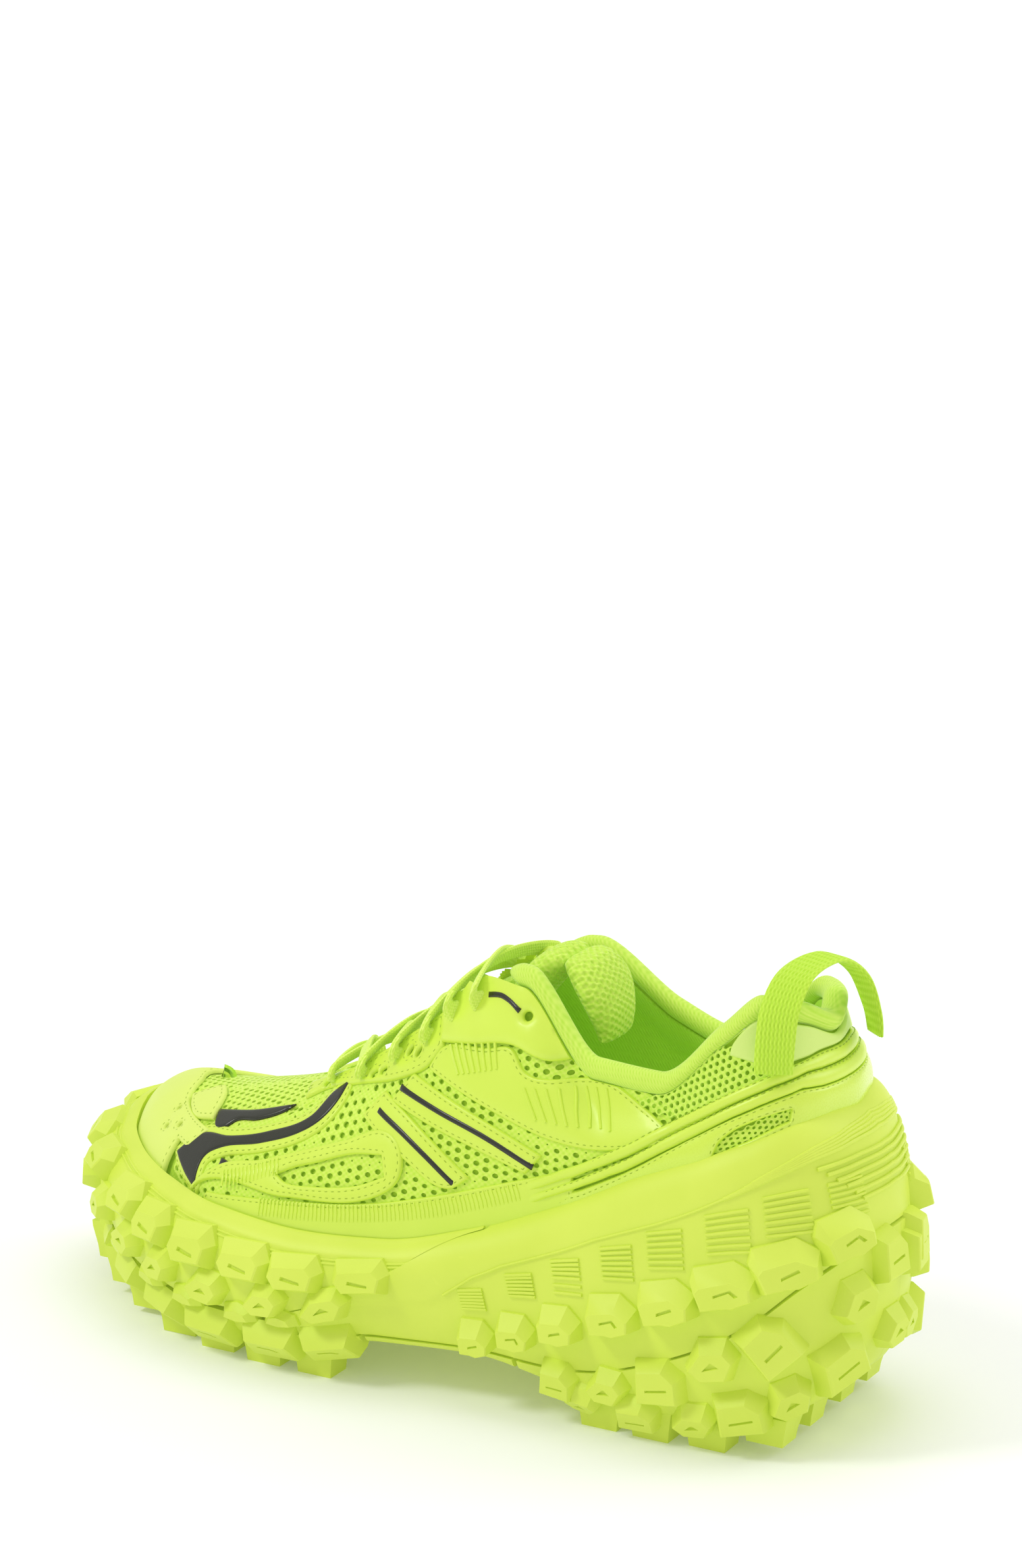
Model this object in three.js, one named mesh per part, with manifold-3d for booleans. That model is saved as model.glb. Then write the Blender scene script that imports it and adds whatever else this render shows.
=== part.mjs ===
// Chunky trail running shoe, left foot, built as separate pieces.
// Frame: millimetres, +X toward the heel, -Y the outer (lateral) side, +Z up.
import * as THREE from 'three';
import { mergeVertices } from 'three/addons/utils/BufferGeometryUtils.js';
import Module from 'manifold-3d';

const wasm = await Module();
wasm.setup();

// ---------- driving dimensions ----------
const BODY_LENGTH = 329;      // sole body, toe to heel, without the lugs
const BODY_WIDTH = 119;       // sole body at the ball of the foot
const UPPER_HEIGHT = 151;     // heel collar peak above the ground
const RUBBER_FLOOR = 3.5;     // tread plate thickness
const FIT_GAP = 0.6;          // clearance between stacked pieces
const RIM_DEPTH = 9;          // how far the upper sits below the rim
const FEATHER_GAP = 1.6;      // rim lip to upper
const BOARD_THICKNESS = 2.1;  // lasting board
const LINER_THICKNESS = 4.2;  // sockliner
const KNIT = [-2.6, -1.6];    // depth range of the mesh shell below the outer face
const STIFFENER = [-3.6, -2.9];
const LINING = [-5.0, -3.9];
const OVERLAY = [-1.3, -0.2]; // first overlay level
const OVERLAY_2 = [0.1, 1.1]; // second overlay level
const FILM = [-1.3, -0.7];
const SIDE_LUG_DEPTH = 6;
const SIDE_LUG_WIDTH = 19;
const SIDE_LUG_HEIGHT = 15;
const SMALL_LUG_WIDTH = 12;
const SMALL_LUG_HEIGHT = 9;
const TREAD_LUG = [17, 13];   // length and width of a bottom lug
const COLLAR_ROLL = 3.1;      // half height of the collar roll
const LACE_WIDTH = 6.5;
const LACE_THICKNESS = 1.6;
const LOOP_WIDTH = 13;
const LOOP_THICKNESS = 1.6;

// ---------- stations: 0 toe ... 14 heel, outer side then inner side ----------
const PLAN_X = [-167, -159, -141, -112, -80, -44, -8, 26, 56, 84, 108, 128, 146, 158, 162];
const PLAN_OUT = [18, -5, -26, -47, -59, -62, -59, -55, -53, -54, -53, -49, -39, -20, 0];
const PLAN_IN = [18, 39, 50, 55, 57, 54.5, 49, 45.5, 47, 50, 50, 47, 37, 19, 0];
const RIM_OUT = [60, 57, 55, 54, 52.5, 51, 53, 62, 75, 90, 100, 108, 114, 115, 114];
const RIM_IN = [60, 64, 62, 58, 54, 52, 54, 62, 75, 90, 100, 108, 114, 115, 114];
const RIM_INSET = [15, 15, 14, 13, 11, 10, 9.5, 10, 10.5, 11, 11, 12, 14, 17, 18];
const WIDEST_Z = [42, 41, 39, 37, 36, 36, 41, 48, 54, 58, 61, 63, 63, 63, 63];
const EDGE_Z = [20, 19, 16, 12, 10, 11, 17, 18, 13, 10, 10, 11, 15, 19, 21];
const EDGE_INSET = [12, 12, 11, 10, 9, 8, 8, 8, 8, 8, 9, 9, 10, 12, 14];
const TOP_X = [-113, -111, -103, -90, -66, -38, -10, 15, 33, 62, 87, 109, 123, 132, 136];
const TOP_OUT = [10, 8, 6, 4, 2, -12, -15, -18, -24, -30, -33, -31, -26, -14, 0];
const TOP_IN = [10, 8, 6, 4, 2, 13, 16, 21, 29, 33, 33, 30, 25, 14, 0];
const TOP_Z_OUT = [77, 77.5, 79, 82, 89, 102, 122, 142, 143, 117, 117, 136, 147, 143.5, 138];
const TOP_Z_IN = [77, 77.5, 79, 82, 89, 102, 122, 141, 141, 122, 114, 128, 141, 141.5, 138];
const FOOT_BULGE = [3, 3, 3, 3, 3, 2, 2, 3, 4, 5, 5, 5, 5, 5, 5];
const FOOT_RISE = [17, 17, 17, 19, 22, 26, 30, 30, 30, 22, 18, 20, 22, 22, 20];
const TOP_REACH = [9, 9, 10, 14, 18, 16, 15, 14, 8, 3, 3, 3, 3, 3, 3];
const TOP_DROP = [0, 0, 0, 0, 1, 12, 14, 16, 18, 15, 14, 16, 18, 18, 16];
const FORE_SEAM = [0.72, 0.72, 0.72, 0.72, 0.72, 0.66, 0.45, 0.06, 0, 0, 0, 0, 0, 0, 0];
const TREAD_SEAM = [0.75, 0.75, 0.75, 0.75, 0.76, 0.8, 0.85, 0.87, 0.82, 0.74, 0.67, 0.6, 0.5, 0.44, 0.42];
const HALF = 14;
const TURN = 28;
const THROAT_START = 4;

// ---------- interpolation around the closed station ring ----------
function ring(outer, inner, scale = 1) {
  const back = inner.slice(1, -1).reverse();
  return [...outer, ...back].map((value) => value * scale);
}

function slope(values, i) {
  const n = values.length;
  const before = values[i] - values[(i + n - 1) % n];
  const after = values[(i + 1) % n] - values[i];
  return before * after > 0 ? (2 * before * after) / (before + after) : 0;
}

function at(values, t) {
  const n = values.length;
  const whole = Math.floor(t);
  const f = t - whole;
  const i = ((whole % n) + n) % n;
  const j = (i + 1) % n;
  const f2 = f * f;
  const f3 = f2 * f;
  const start = values[i] * (2 * f3 - 3 * f2 + 1) + slope(values, i) * (f3 - 2 * f2 + f);
  return start + values[j] * (3 * f2 - 2 * f3) + slope(values, j) * (f3 - f2);
}

const SX = BODY_LENGTH / 329;
const SY = BODY_WIDTH / 119;
const SZ = UPPER_HEIGHT / 151;
const R = {
  x: ring(PLAN_X, PLAN_X, SX),
  y: ring(PLAN_OUT, PLAN_IN, SY),
  rim: ring(RIM_OUT, RIM_IN),
  rimInset: ring(RIM_INSET, RIM_INSET),
  wide: ring(WIDEST_Z, WIDEST_Z),
  edge: ring(EDGE_Z, EDGE_Z),
  edgeInset: ring(EDGE_INSET, EDGE_INSET),
  topX: ring(TOP_X, TOP_X, SX),
  topY: ring(TOP_OUT, TOP_IN, SY),
  topZ: ring(TOP_Z_OUT, TOP_Z_IN, SZ),
  bulge: ring(FOOT_BULGE, FOOT_BULGE),
  rise: ring(FOOT_RISE, FOOT_RISE),
  reach: ring(TOP_REACH, TOP_REACH),
  drop: ring(TOP_DROP, TOP_DROP),
  fore: ring(FORE_SEAM, FORE_SEAM),
  tread: ring(TREAD_SEAM, TREAD_SEAM),
};

function planNormal(t) {
  const e = 0.02;
  const dx = at(R.x, t + e) - at(R.x, t - e);
  const dy = at(R.y, t + e) - at(R.y, t - e);
  const size = Math.hypot(dx, dy);
  return [dy / size, -dx / size];
}

// a point at station t, inset from the widest outline, at height z
function inset(t, amount, z) {
  const [nx, ny] = planNormal(t);
  return new THREE.Vector3(at(R.x, t) - nx * amount, at(R.y, t) - ny * amount, z);
}

// sole side surface: h 0 at the rim, 0.5 at the widest line, 1 at the tread edge
function side(t, h) {
  const wide = at(R.wide, t);
  if (h < 0.5) {
    const a = (0.5 - h) * Math.PI;
    return inset(t, at(R.rimInset, t) * (1 - Math.cos(a)), wide + (at(R.rim, t) - wide) * Math.sin(a));
  }
  const b = (h - 0.5) * Math.PI;
  return inset(t, at(R.edgeInset, t) * (1 - Math.cos(b)), wide + (at(R.edge, t) - wide) * Math.sin(b));
}

function footZ(t) {
  return at(R.rim, t) - RIM_DEPTH;
}

// upper surface: v 0 at the board, 1 at the throat or collar line
function upper(t, v) {
  const [nx, ny] = planNormal(t);
  const foot = inset(t, at(R.rimInset, t) + FEATHER_GAP, footZ(t));
  const top = new THREE.Vector3(at(R.topX, t), at(R.topY, t), at(R.topZ, t));
  const bulge = at(R.bulge, t);
  const reach = at(R.reach, t);
  const a = foot.clone().add(new THREE.Vector3(nx * bulge, ny * bulge, at(R.rise, t)));
  const b = top.clone().add(new THREE.Vector3(nx * reach, ny * reach, -at(R.drop, t)));
  return new THREE.CubicBezierCurve3(foot, a, b, top).getPoint(v);
}

// ---------- mesh helpers ----------
function volumeOf(p, tri) {
  let sum = 0;
  for (let i = 0; i < tri.length; i += 3) {
    const a = p[tri[i]];
    const b = p[tri[i + 1]];
    const c = p[tri[i + 2]];
    sum += a.dot(b.clone().cross(c));
  }
  return sum / 6;
}

function geometryOf(p, tri) {
  const flip = volumeOf(p, tri) < 0;
  const index = [];
  for (let i = 0; i < tri.length; i += 3) {
    const [a, b, c] = [tri[i], tri[i + 1], tri[i + 2]];
    index.push(a, flip ? c : b, flip ? b : c);
  }
  const flat = new THREE.BufferGeometry();
  flat.setAttribute('position', new THREE.Float32BufferAttribute(p.flatMap((q) => [q.x, q.y, q.z]), 3));
  flat.setIndex(index);
  const merged = mergeVertices(flat, 1e-3);
  const kept = [];
  const m = merged.index.array;
  for (let i = 0; i < m.length; i += 3) {
    if (m[i] !== m[i + 1] && m[i + 1] !== m[i + 2] && m[i] !== m[i + 2]) kept.push(m[i], m[i + 1], m[i + 2]);
  }
  merged.setIndex(kept);
  return merged;
}

// triangulates a flat-ish closed polygon of 3D points
function capTriangles(points) {
  const n = new THREE.Vector3();
  points.forEach((p, i) => {
    const q = points[(i + 1) % points.length];
    n.x += (p.y - q.y) * (p.z + q.z);
    n.y += (p.z - q.z) * (p.x + q.x);
    n.z += (p.x - q.x) * (p.y + q.y);
  });
  const ax = Math.abs(n.x);
  const ay = Math.abs(n.y);
  const az = Math.abs(n.z);
  let pick = (p) => new THREE.Vector2(p.x, p.y);
  if (ax >= ay && ax >= az) pick = (p) => new THREE.Vector2(p.y, p.z);
  else if (ay >= az) pick = (p) => new THREE.Vector2(p.z, p.x);
  const sign = (ax >= ay && ax >= az ? n.x : ay >= az ? n.y : n.z) > 0;
  const faces = THREE.ShapeUtils.triangulateShape(points.map(pick), []);
  const out = [];
  for (const [a, b, c] of faces) {
    const A = pick(points[a]);
    const B = pick(points[b]);
    const C = pick(points[c]);
    const ccw = (B.x - A.x) * (C.y - A.y) - (B.y - A.y) * (C.x - A.x) > 0;
    if (ccw === sign) out.push(a, b, c);
    else out.push(a, c, b);
  }
  return out;
}

// closed solid through matching closed polygons; an end that has shrunk to a line needs no cap
function loft(sections, openStart = true, openEnd = true) {
  const m = sections[0].length;
  const p = sections.flat();
  const tri = [];
  for (let s = 0; s + 1 < sections.length; s += 1) {
    for (let j = 0; j < m; j += 1) {
      const a = s * m + j;
      const b = s * m + ((j + 1) % m);
      const direct = p[a].distanceTo(p[b + m]) <= p[b].distanceTo(p[a + m]);
      if (direct) tri.push(a, b, b + m, a, b + m, a + m);
      else tri.push(a, b, a + m, b, b + m, a + m);
    }
  }
  if (openStart) {
    const cap = capTriangles(sections[0]);
    for (let i = 0; i < cap.length; i += 3) tri.push(cap[i], cap[i + 2], cap[i + 1]);
  }
  if (openEnd) {
    const base = (sections.length - 1) * m;
    capTriangles(sections[sections.length - 1]).forEach((i) => tri.push(base + i));
  }
  return geometryOf(p, tri);
}

function range(from, to, count) {
  return Array.from({ length: count + 1 }, (_, i) => from + ((to - from) * i) / count);
}

function solid(geometry) {
  const bare = geometry.clone();
  bare.deleteAttribute('normal');
  bare.deleteAttribute('uv');
  const merged = mergeVertices(bare, 1e-3);
  const mesh = new wasm.Mesh({
    numProp: 3,
    vertProperties: new Float32Array(merged.attributes.position.array),
    triVerts: new Uint32Array(merged.index.array),
  });
  return new wasm.Manifold(mesh);
}

// back to a geometry, keeping the largest connected body
function fromSolid(body) {
  const mesh = body.getMesh();
  const tri = mesh.triVerts;
  const root = Array.from({ length: mesh.numVert }, (_, i) => i);
  const find = (i) => {
    while (root[i] !== i) {
      root[i] = root[root[i]];
      i = root[i];
    }
    return i;
  };
  for (let i = 0; i < tri.length; i += 3) {
    root[find(tri[i])] = find(tri[i + 1]);
    root[find(tri[i + 1])] = find(tri[i + 2]);
  }
  const size = new Map();
  const corner = (i) => new THREE.Vector3().fromArray(mesh.vertProperties, tri[i] * 3);
  for (let i = 0; i < tri.length; i += 3) {
    const key = find(tri[i]);
    size.set(key, (size.get(key) || 0) + corner(i).dot(corner(i + 1).cross(corner(i + 2))));
  }
  const best = [...size.entries()].sort((a, b) => b[1] - a[1])[0][0];
  const index = [];
  for (let i = 0; i < tri.length; i += 3) {
    if (find(tri[i]) === best) index.push(tri[i], tri[i + 1], tri[i + 2]);
  }
  const out = new THREE.BufferGeometry();
  out.setAttribute('position', new THREE.BufferAttribute(new Float32Array(mesh.vertProperties), 3));
  out.setIndex(index);
  return out.toNonIndexed();
}

// ---------- the lattice that every layer of the upper follows ----------
const COLUMNS = 42;
const ROWS = 6;
const column = (i) => (i * TURN) / COLUMNS;
const THROAT_COLUMN = 6;

function welded(i) {
  return i <= THROAT_COLUMN || i >= COLUMNS - THROAT_COLUMN;
}

function vertexId(i, j) {
  const c = (i + COLUMNS) % COLUMNS;
  if (j === ROWS && welded(c) && c > COLUMNS / 2) return (COLUMNS - c) * (ROWS + 1) + j;
  return c * (ROWS + 1) + j;
}

function latticePoints() {
  const base = [];
  for (let i = 0; i < COLUMNS; i += 1) {
    for (let j = 0; j <= ROWS; j += 1) base.push(upper(column(i), j / ROWS));
  }
  const normals = base.map(() => new THREE.Vector3());
  for (let i = 0; i < COLUMNS; i += 1) {
    for (let j = 0; j < ROWS; j += 1) {
      const quad = [vertexId(i, j), vertexId(i + 1, j), vertexId(i + 1, j + 1), vertexId(i, j + 1)];
      const d1 = base[quad[2]].clone().sub(base[quad[0]]);
      const d2 = base[quad[3]].clone().sub(base[quad[1]]);
      const n = d1.cross(d2);
      quad.forEach((q) => normals[q].add(n));
    }
  }
  for (let i = 0; i < COLUMNS; i += 1) normals[vertexId(i, 0)].z = 0;
  normals.forEach((n) => n.normalize());
  return { base, normals };
}

const LATTICE = latticePoints();

// closed shell between two depths over the whole upper
function shellLayer([low, high]) {
  const count = LATTICE.base.length;
  const p = [];
  for (const depth of [low, high]) {
    LATTICE.base.forEach((q, i) => p.push(q.clone().addScaledVector(LATTICE.normals[i], depth)));
  }
  const tri = [];
  const quad = (a, b, c, d) => tri.push(a, b, c, a, c, d);
  for (let i = 0; i < COLUMNS; i += 1) {
    for (let j = 0; j < ROWS; j += 1) {
      const a = vertexId(i, j);
      const b = vertexId(i + 1, j);
      const c = vertexId(i + 1, j + 1);
      const d = vertexId(i, j + 1);
      quad(count + a, count + b, count + c, count + d);
      tri.push(c, b, a, d, c, a);
    }
    const f0 = vertexId(i, 0);
    const f1 = vertexId(i + 1, 0);
    quad(f0, f1, count + f1, count + f0);
    if (!(welded(i) && welded((i + 1) % COLUMNS))) {
      const t0 = vertexId(i, ROWS);
      const t1 = vertexId(i + 1, ROWS);
      quad(t1, t0, count + t0, count + t1);
    }
  }
  return geometryOf(p, tri);
}

// prism standing on a side-view outline; the outer side is -Y
function turned(outline, anticlockwise) {
  const points = outline.map(([x, z]) => new THREE.Vector2(x * SX, z));
  return THREE.ShapeUtils.isClockWise(points) === anticlockwise ? points.reverse() : points;
}

function sidePrism(outline, yFrom, yTo, holes = []) {
  const shape = new THREE.Shape(turned(outline, true));
  holes.forEach((hole) => shape.holes.push(new THREE.Path(turned(hole, false))));
  const g = new THREE.ExtrudeGeometry(shape, { depth: (yTo - yFrom) * SY, bevelEnabled: false });
  g.rotateX(Math.PI / 2);
  g.translate(0, yTo * SY, 0);
  return solid(g);
}

// prism standing on a plan-view outline
function planPrism(outline, zFrom, zTo) {
  const shape = new THREE.Shape(outline.map(([x, y]) => new THREE.Vector2(x * SX, y * SY)));
  const g = new THREE.ExtrudeGeometry(shape, { depth: zTo - zFrom, bevelEnabled: false });
  g.translate(0, 0, zFrom);
  return solid(g);
}

const LAYERS = {};
function layer(depths) {
  const key = depths.join('_');
  if (!LAYERS[key]) LAYERS[key] = solid(shellLayer(depths));
  return LAYERS[key];
}

const cut = (depths, prism) => fromSolid(layer(depths).intersect(prism));
const onSide = (which) => (which === 'lateral' ? [-90, -1] : [6, 90]);
function sidePatch(depths, outline, which, holes = []) {
  return cut(depths, sidePrism(outline, ...onSide(which), holes));
}

// ---------- sole pieces ----------
function wallSection(t, hTop, hBottom) {
  const outer = range(hTop, hBottom, 4).map((h) => side(t, h));
  const insetBy = at(R.rimInset, t) + (hTop > 0 ? 0.01 : 0);
  const low = outer[outer.length - 1].z;
  const inner = [inset(t, insetBy, low)];
  if (hTop > 0) inner.push(inset(t, insetBy, outer[0].z));
  else inner.push(inset(t, insetBy, (low + outer[0].z) / 2));
  return [...outer, ...inner];
}

const FORE_END = 7.1;
const WEDGE_START = 5.05;
const FORE_TREAD_END = 5.8;
const SHANK_START = 5.86;
const SHANK_END = 7.5;
const REAR_TREAD_START = 7.56;
const SEAM_STEP = 0.03;

function foreWall() {
  return loft(range(-FORE_END, FORE_END, 32).map((t) => wallSection(t, 0, at(R.fore, t))));
}

function wedgeTop(t) {
  const fromToe = Math.min(t, TURN - t);
  return fromToe < FORE_END + 0.05 ? at(R.fore, t) + SEAM_STEP : 0;
}

function wedgeSection(t) {
  const outer = range(wedgeTop(t), at(R.tread, t) - SEAM_STEP, 4).map((h) => side(t, h));
  const by = at(R.rimInset, t);
  const low = outer[outer.length - 1].z;
  const high = outer[0].z;
  return [...outer, inset(t, by + 0.01, low), inset(t, by + 0.01, high - 0.02)];
}

function wedge() {
  const front = range(WEDGE_START, FORE_END + 0.04, 4);
  const rear = range(FORE_END + 0.06, HALF, 14);
  const half = [...front, ...rear];
  const back = half.slice(0, -1).map((t) => TURN - t).reverse();
  return loft([...half, ...back].map(wedgeSection));
}

// a tray with up-turned sides, from station a to b, across the whole width
function traySection(t) {
  const far = TURN - t;
  const levels = range(at(R.tread, t), 1, 2);
  const floor = at(R.edge, t) + RUBBER_FLOOR;
  const by = at(R.rimInset, t);
  const outer = levels.map((h) => side(t, h));
  const mirror = levels.map((h) => side(far, h)).reverse();
  const innerHere = [inset(far, by, mirror[mirror.length - 1].z), inset(far, by, floor)];
  const innerBack = [inset(t, by, floor), inset(t, by, outer[0].z)];
  return [...outer, ...mirror, ...innerHere, ...innerBack];
}

function tray(a, b, count) {
  return loft(range(a, b, count).map(traySection), a > 0, b < HALF);
}

// a plate inside the walls, between two height rules
function plate(a, b, count, insetBy, zLow, zHigh) {
  const section = (t) => {
    const by = at(R.rimInset, t) + insetBy;
    const here = [inset(t, by, zHigh(t)), inset(t, by, zLow(t))];
    const there = [inset(TURN - t, by, zLow(TURN - t)), inset(TURN - t, by, zHigh(TURN - t))];
    return [...here, ...there];
  };
  return loft(range(a, b, count).map(section), a > 0, b < HALF);
}

const acrossZ = (t) => Math.min(footZ(t), footZ(TURN - t));
const BOARD_TOP = (t) => acrossZ(t) - 1.5 * FIT_GAP;
const BOARD_LOW = (t) => BOARD_TOP(t) - BOARD_THICKNESS;
const CORE_TOP = (t) => BOARD_LOW(t) - 1.5 * FIT_GAP;
const CORE_LOW = (t) => at(R.edge, t) + RUBBER_FLOOR + 2 * FIT_GAP;
const LINER_LOW = (t) => BOARD_TOP(t) + FIT_GAP;
const LINER_TOP = (t) => LINER_LOW(t) + LINER_THICKNESS;
const LINER_SPLIT = 28 / 3;

// ---------- lugs ----------
function wedgeBlock(origin, across, up, out, w, h, depth, taper) {
  const corner = (s, q, d, k) => origin
    .clone()
    .addScaledVector(across, (s * w * k) / 2)
    .addScaledVector(up, (q * h * k) / 2)
    .addScaledVector(out, d);
  const base = [[-1, -1], [1, -1], [1, 1], [-1, 1]].map(([s, q]) => corner(s, q, -3, 1));
  const top = [[-1, -1], [1, -1], [1, 1], [-1, 1]].map(([s, q]) => corner(s, q, depth, taper));
  return solid(loft([base, top]));
}

function sideFrame(t, h) {
  const origin = side(t, h);
  const across = side(t + 0.05, h).sub(side(t - 0.05, h)).normalize();
  const up = side(t, h - 0.04).sub(side(t, h + 0.04)).normalize();
  const out = across.clone().cross(up).normalize();
  if (out.x * planNormal(t)[0] + out.y * planNormal(t)[1] < 0) out.negate();
  return { origin, across, up, out };
}

function sideLug(t, h, w, height, depth = SIDE_LUG_DEPTH, taper = 0.72) {
  const f = sideFrame(t, h);
  return wedgeBlock(f.origin, f.across, f.up, f.out, w, height, depth, taper);
}

// stations spread by equal steps along the widest outline
function spread(from, to, pitch, phase = 0) {
  const out = [];
  let travelled = phase;
  for (let t = from; t < to; t += 0.02) {
    const step = side(t + 0.02, 0.5).distanceTo(side(t, 0.5));
    travelled += step;
    if (travelled >= pitch) {
      travelled -= pitch;
      out.push(t);
    }
  }
  return out;
}

function withLugs(geometry, lugs) {
  let body = solid(geometry);
  lugs.forEach((lug) => { body = body.add(lug); });
  return fromSolid(body);
}

function ground(x) {
  const toe = Math.max(0, -x / SX - 96) * 0.13;
  const heel = Math.max(0, x / SX - 112) * 0.22;
  return toe + heel;
}

function bottomLug(x, y, length, width, edgeZ) {
  const low = ground(x);
  const high = edgeZ + 1.5;
  const block = (z, k) => [[-1, -1], [1, -1], [1, 1], [-1, 1]].map(([s, q]) => new THREE.Vector3(
    x + (s * length * k) / 2, y + (q * width * k) / 2, z));
  return solid(loft([block(low, 0.84), block(high, 1)]));
}

// rows of bottom lugs between two stations; a row that would reach past the tread's end is left out
function bottomLugs(from, to, pitch, skip = 0, endX = Infinity) {
  const out = [];
  spread(from, to, pitch, skip).forEach((t, row) => {
    const x = at(R.x, t);
    if (x + TREAD_LUG[0] / 2 > endX) return;
    const low = at(R.edge, t);
    const yOut = side(t, 1).y + TREAD_LUG[1] * 0.42;
    const yIn = side(TURN - t, 1).y - TREAD_LUG[1] * 0.42;
    const inner = row % 2 ? [0.32, 0.68] : [0.5];
    [0, ...inner, 1].forEach((f) => {
      out.push(bottomLug(x, yOut + (yIn - yOut) * f, TREAD_LUG[0], TREAD_LUG[1], low));
    });
  });
  return out;
}

function forefootSidewall() {
  const big = spread(-4.9, 5.0, 25, 8).map((t) => sideLug(t, 0.42, SIDE_LUG_WIDTH, SIDE_LUG_HEIGHT));
  const small = spread(-4.5, 4.5, 25, 20).map((t) => sideLug(t, 0.61, SMALL_LUG_WIDTH, SMALL_LUG_HEIGHT, 5));
  return withLugs(foreWall(), [...big, ...small]);
}

function heelWedge() {
  const row = spread(6.6, 21.4, 23, 8).map((t) => {
    const h = at(R.tread, t) - 0.13;
    return sideLug(t, h, SIDE_LUG_WIDTH, SIDE_LUG_HEIGHT * 0.9, SIDE_LUG_DEPTH - 1);
  });
  return withLugs(wedge(), row);
}

function rearTread() {
  const row = spread(9.0, 19.0, 23, 12).map((t) => {
    const h = at(R.tread, t) * 0.45 + 0.55;
    return sideLug(t, h, SIDE_LUG_WIDTH, SIDE_LUG_HEIGHT, SIDE_LUG_DEPTH);
  });
  const endX = at(R.x, HALF) - at(R.edgeInset, HALF) + 2;
  return withLugs(tray(REAR_TREAD_START, HALF, 12), [...row, ...bottomLugs(8.1, 13.2, 20, 6, endX)]);
}

function forefootTread() {
  const endX = at(R.x, FORE_TREAD_END) - FIT_GAP;
  return withLugs(tray(0, FORE_TREAD_END, 12), bottomLugs(1.4, 5.7, 21, 14, endX));
}

function archShank() {
  const low = at(R.edge, 6.6);
  const fin = (y) => {
    const x0 = at(R.x, 5.95);
    const x1 = at(R.x, 7.2);
    const z0 = low + 2;
    const flat = [[x0, z0], [x1, z0 + 1], [(x0 + x1) / 2, low - 7]];
    const rib = (dy) => flat.map(([x, z]) => new THREE.Vector3(x, y + dy, z));
    return solid(loft([rib(-2), rib(2)]));
  };
  const rail = side(6.5, 1).y + 5;
  const railIn = side(TURN - 6.5, 1).y - 5;
  return withLugs(tray(SHANK_START, SHANK_END, 4), [fin(rail), fin((rail + railIn) / 2), fin(railIn)]);
}

// ---------- upper outlines, side view (x, z) ----------
const FLAME_LARGE = [[-107, 62], [-100, 57], [-90, 55], [-92, 62], [-84, 67], [-68, 71],
  [-52, 77], [-44, 83],
  [-40, 89], [-41, 95], [-46, 90], [-52, 83], [-68, 76], [-98, 69]];
const FLAME_SMALL = [[-97, 75], [-80, 79], [-63, 84], [-66, 82], [-84, 76.5], [-95, 72]];
const FORE_OVERLAY = [[-95, 52], [-82, 64], [-64, 69], [-48, 75], [-30, 82], [-14, 88], [-7, 84], [-6, 74],
  [-16, 66], [-50, 60.5], [-90, 56.5], [-95, 48]];
const FORE_WINDOW = [[-56, 66.5], [-42, 72], [-26, 78], [-14, 80], [-12, 74], [-22, 69], [-40, 65.5]];
const MUDGUARD = [[-88, 44], [-86, 55], [-50, 59], [-14, 64.5], [10, 71], [34, 79], [60, 88],
  [60, 60], [0, 40]];
const STRAP_REAR = [[-14, 98], [-8, 106.5], [20, 99.5], [47, 90.5], [41, 84.5], [14, 91]];
const STRAP_FRONT = [[-26, 91], [-20, 98], [4, 88], [20, 79], [13, 74.8], [-4, 80.5]];
const QUARTER = [[-3, 110], [2, 118], [22, 122], [31, 122.5], [35, 114], [48, 108], [70, 104.5], [92, 107],
  [93, 103], [72, 97], [50, 98], [28, 103], [10, 108]];
const EYESTAY = [[-62, 89], [-42, 99], [-16, 117], [-2, 127], [1, 118], [-5, 111], [-18, 104], [-36, 97.5],
  [-52, 91.5], [-60, 86.5]];
const TOP_EYELET = [[2, 119], [-1, 128], [6, 140], [16, 150], [40, 150], [46, 138], [56, 124], [48, 122],
  [31, 125], [16, 122.5]];
const COLLAR_MESH = [[82, 114], [92, 122], [107, 137], [111, 135.5], [127, 132], [128, 129.5],
  [117, 125], [98, 113]];
const HEEL_TAB = [[109, 138.5], [118, 156], [152, 156], [152, 131.5], [136, 134.5], [129, 133], [112, 137]];
const BAND_TOP = [[152, 130.8], [136, 133.5], [129, 130.5], [118, 124.5], [103, 115], [82, 101.5],
  [62, 90.5]];
const BAND_DROP = 4.4;
const TOE_CAP = [[-190, -60], [-116, -60], [-110, -29], [-95, -25], [-107, -16], [-117, -5], [-119, 6],
  [-117, 17], [-106, 27], [-95, 36], [-108, 41], [-115, 70], [-190, 70]];
const TOE_TAB = [[-116, -3], [-104, -2], [-100, -8], [-98, -19], [-105.5, -16.5]];
const PUFF = [[-190, -60], [-104, -60], [-112, 0], [-112, 14], [-104, 70], [-190, 70]];
const COUNTER = [[152, 98], [152, 128], [128, 126], [100, 110], [84, 96], [84, 74]];

function band(k) {
  const up = BAND_TOP.map(([x, z]) => [x, z - k * BAND_DROP]);
  const down = BAND_TOP.map(([x, z]) => [x, z - k * BAND_DROP - BAND_DROP + 0.5]).reverse();
  return [...up, ...down];
}

function heelSkinOutline() {
  const up = BAND_TOP.map(([x, z]) => [x, z - 2 * BAND_DROP - 0.1]);
  return [...up, [61, 60], [152, 90]];
}

const capCutter = planPrism(TOE_CAP.map(([x, y]) => [x + 0.6, y]), 0, 200);
function film(outline, which) {
  const prism = sidePrism(outline, ...onSide(which));
  return fromSolid(layer(FILM).intersect(prism).subtract(capCutter));
}

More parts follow.
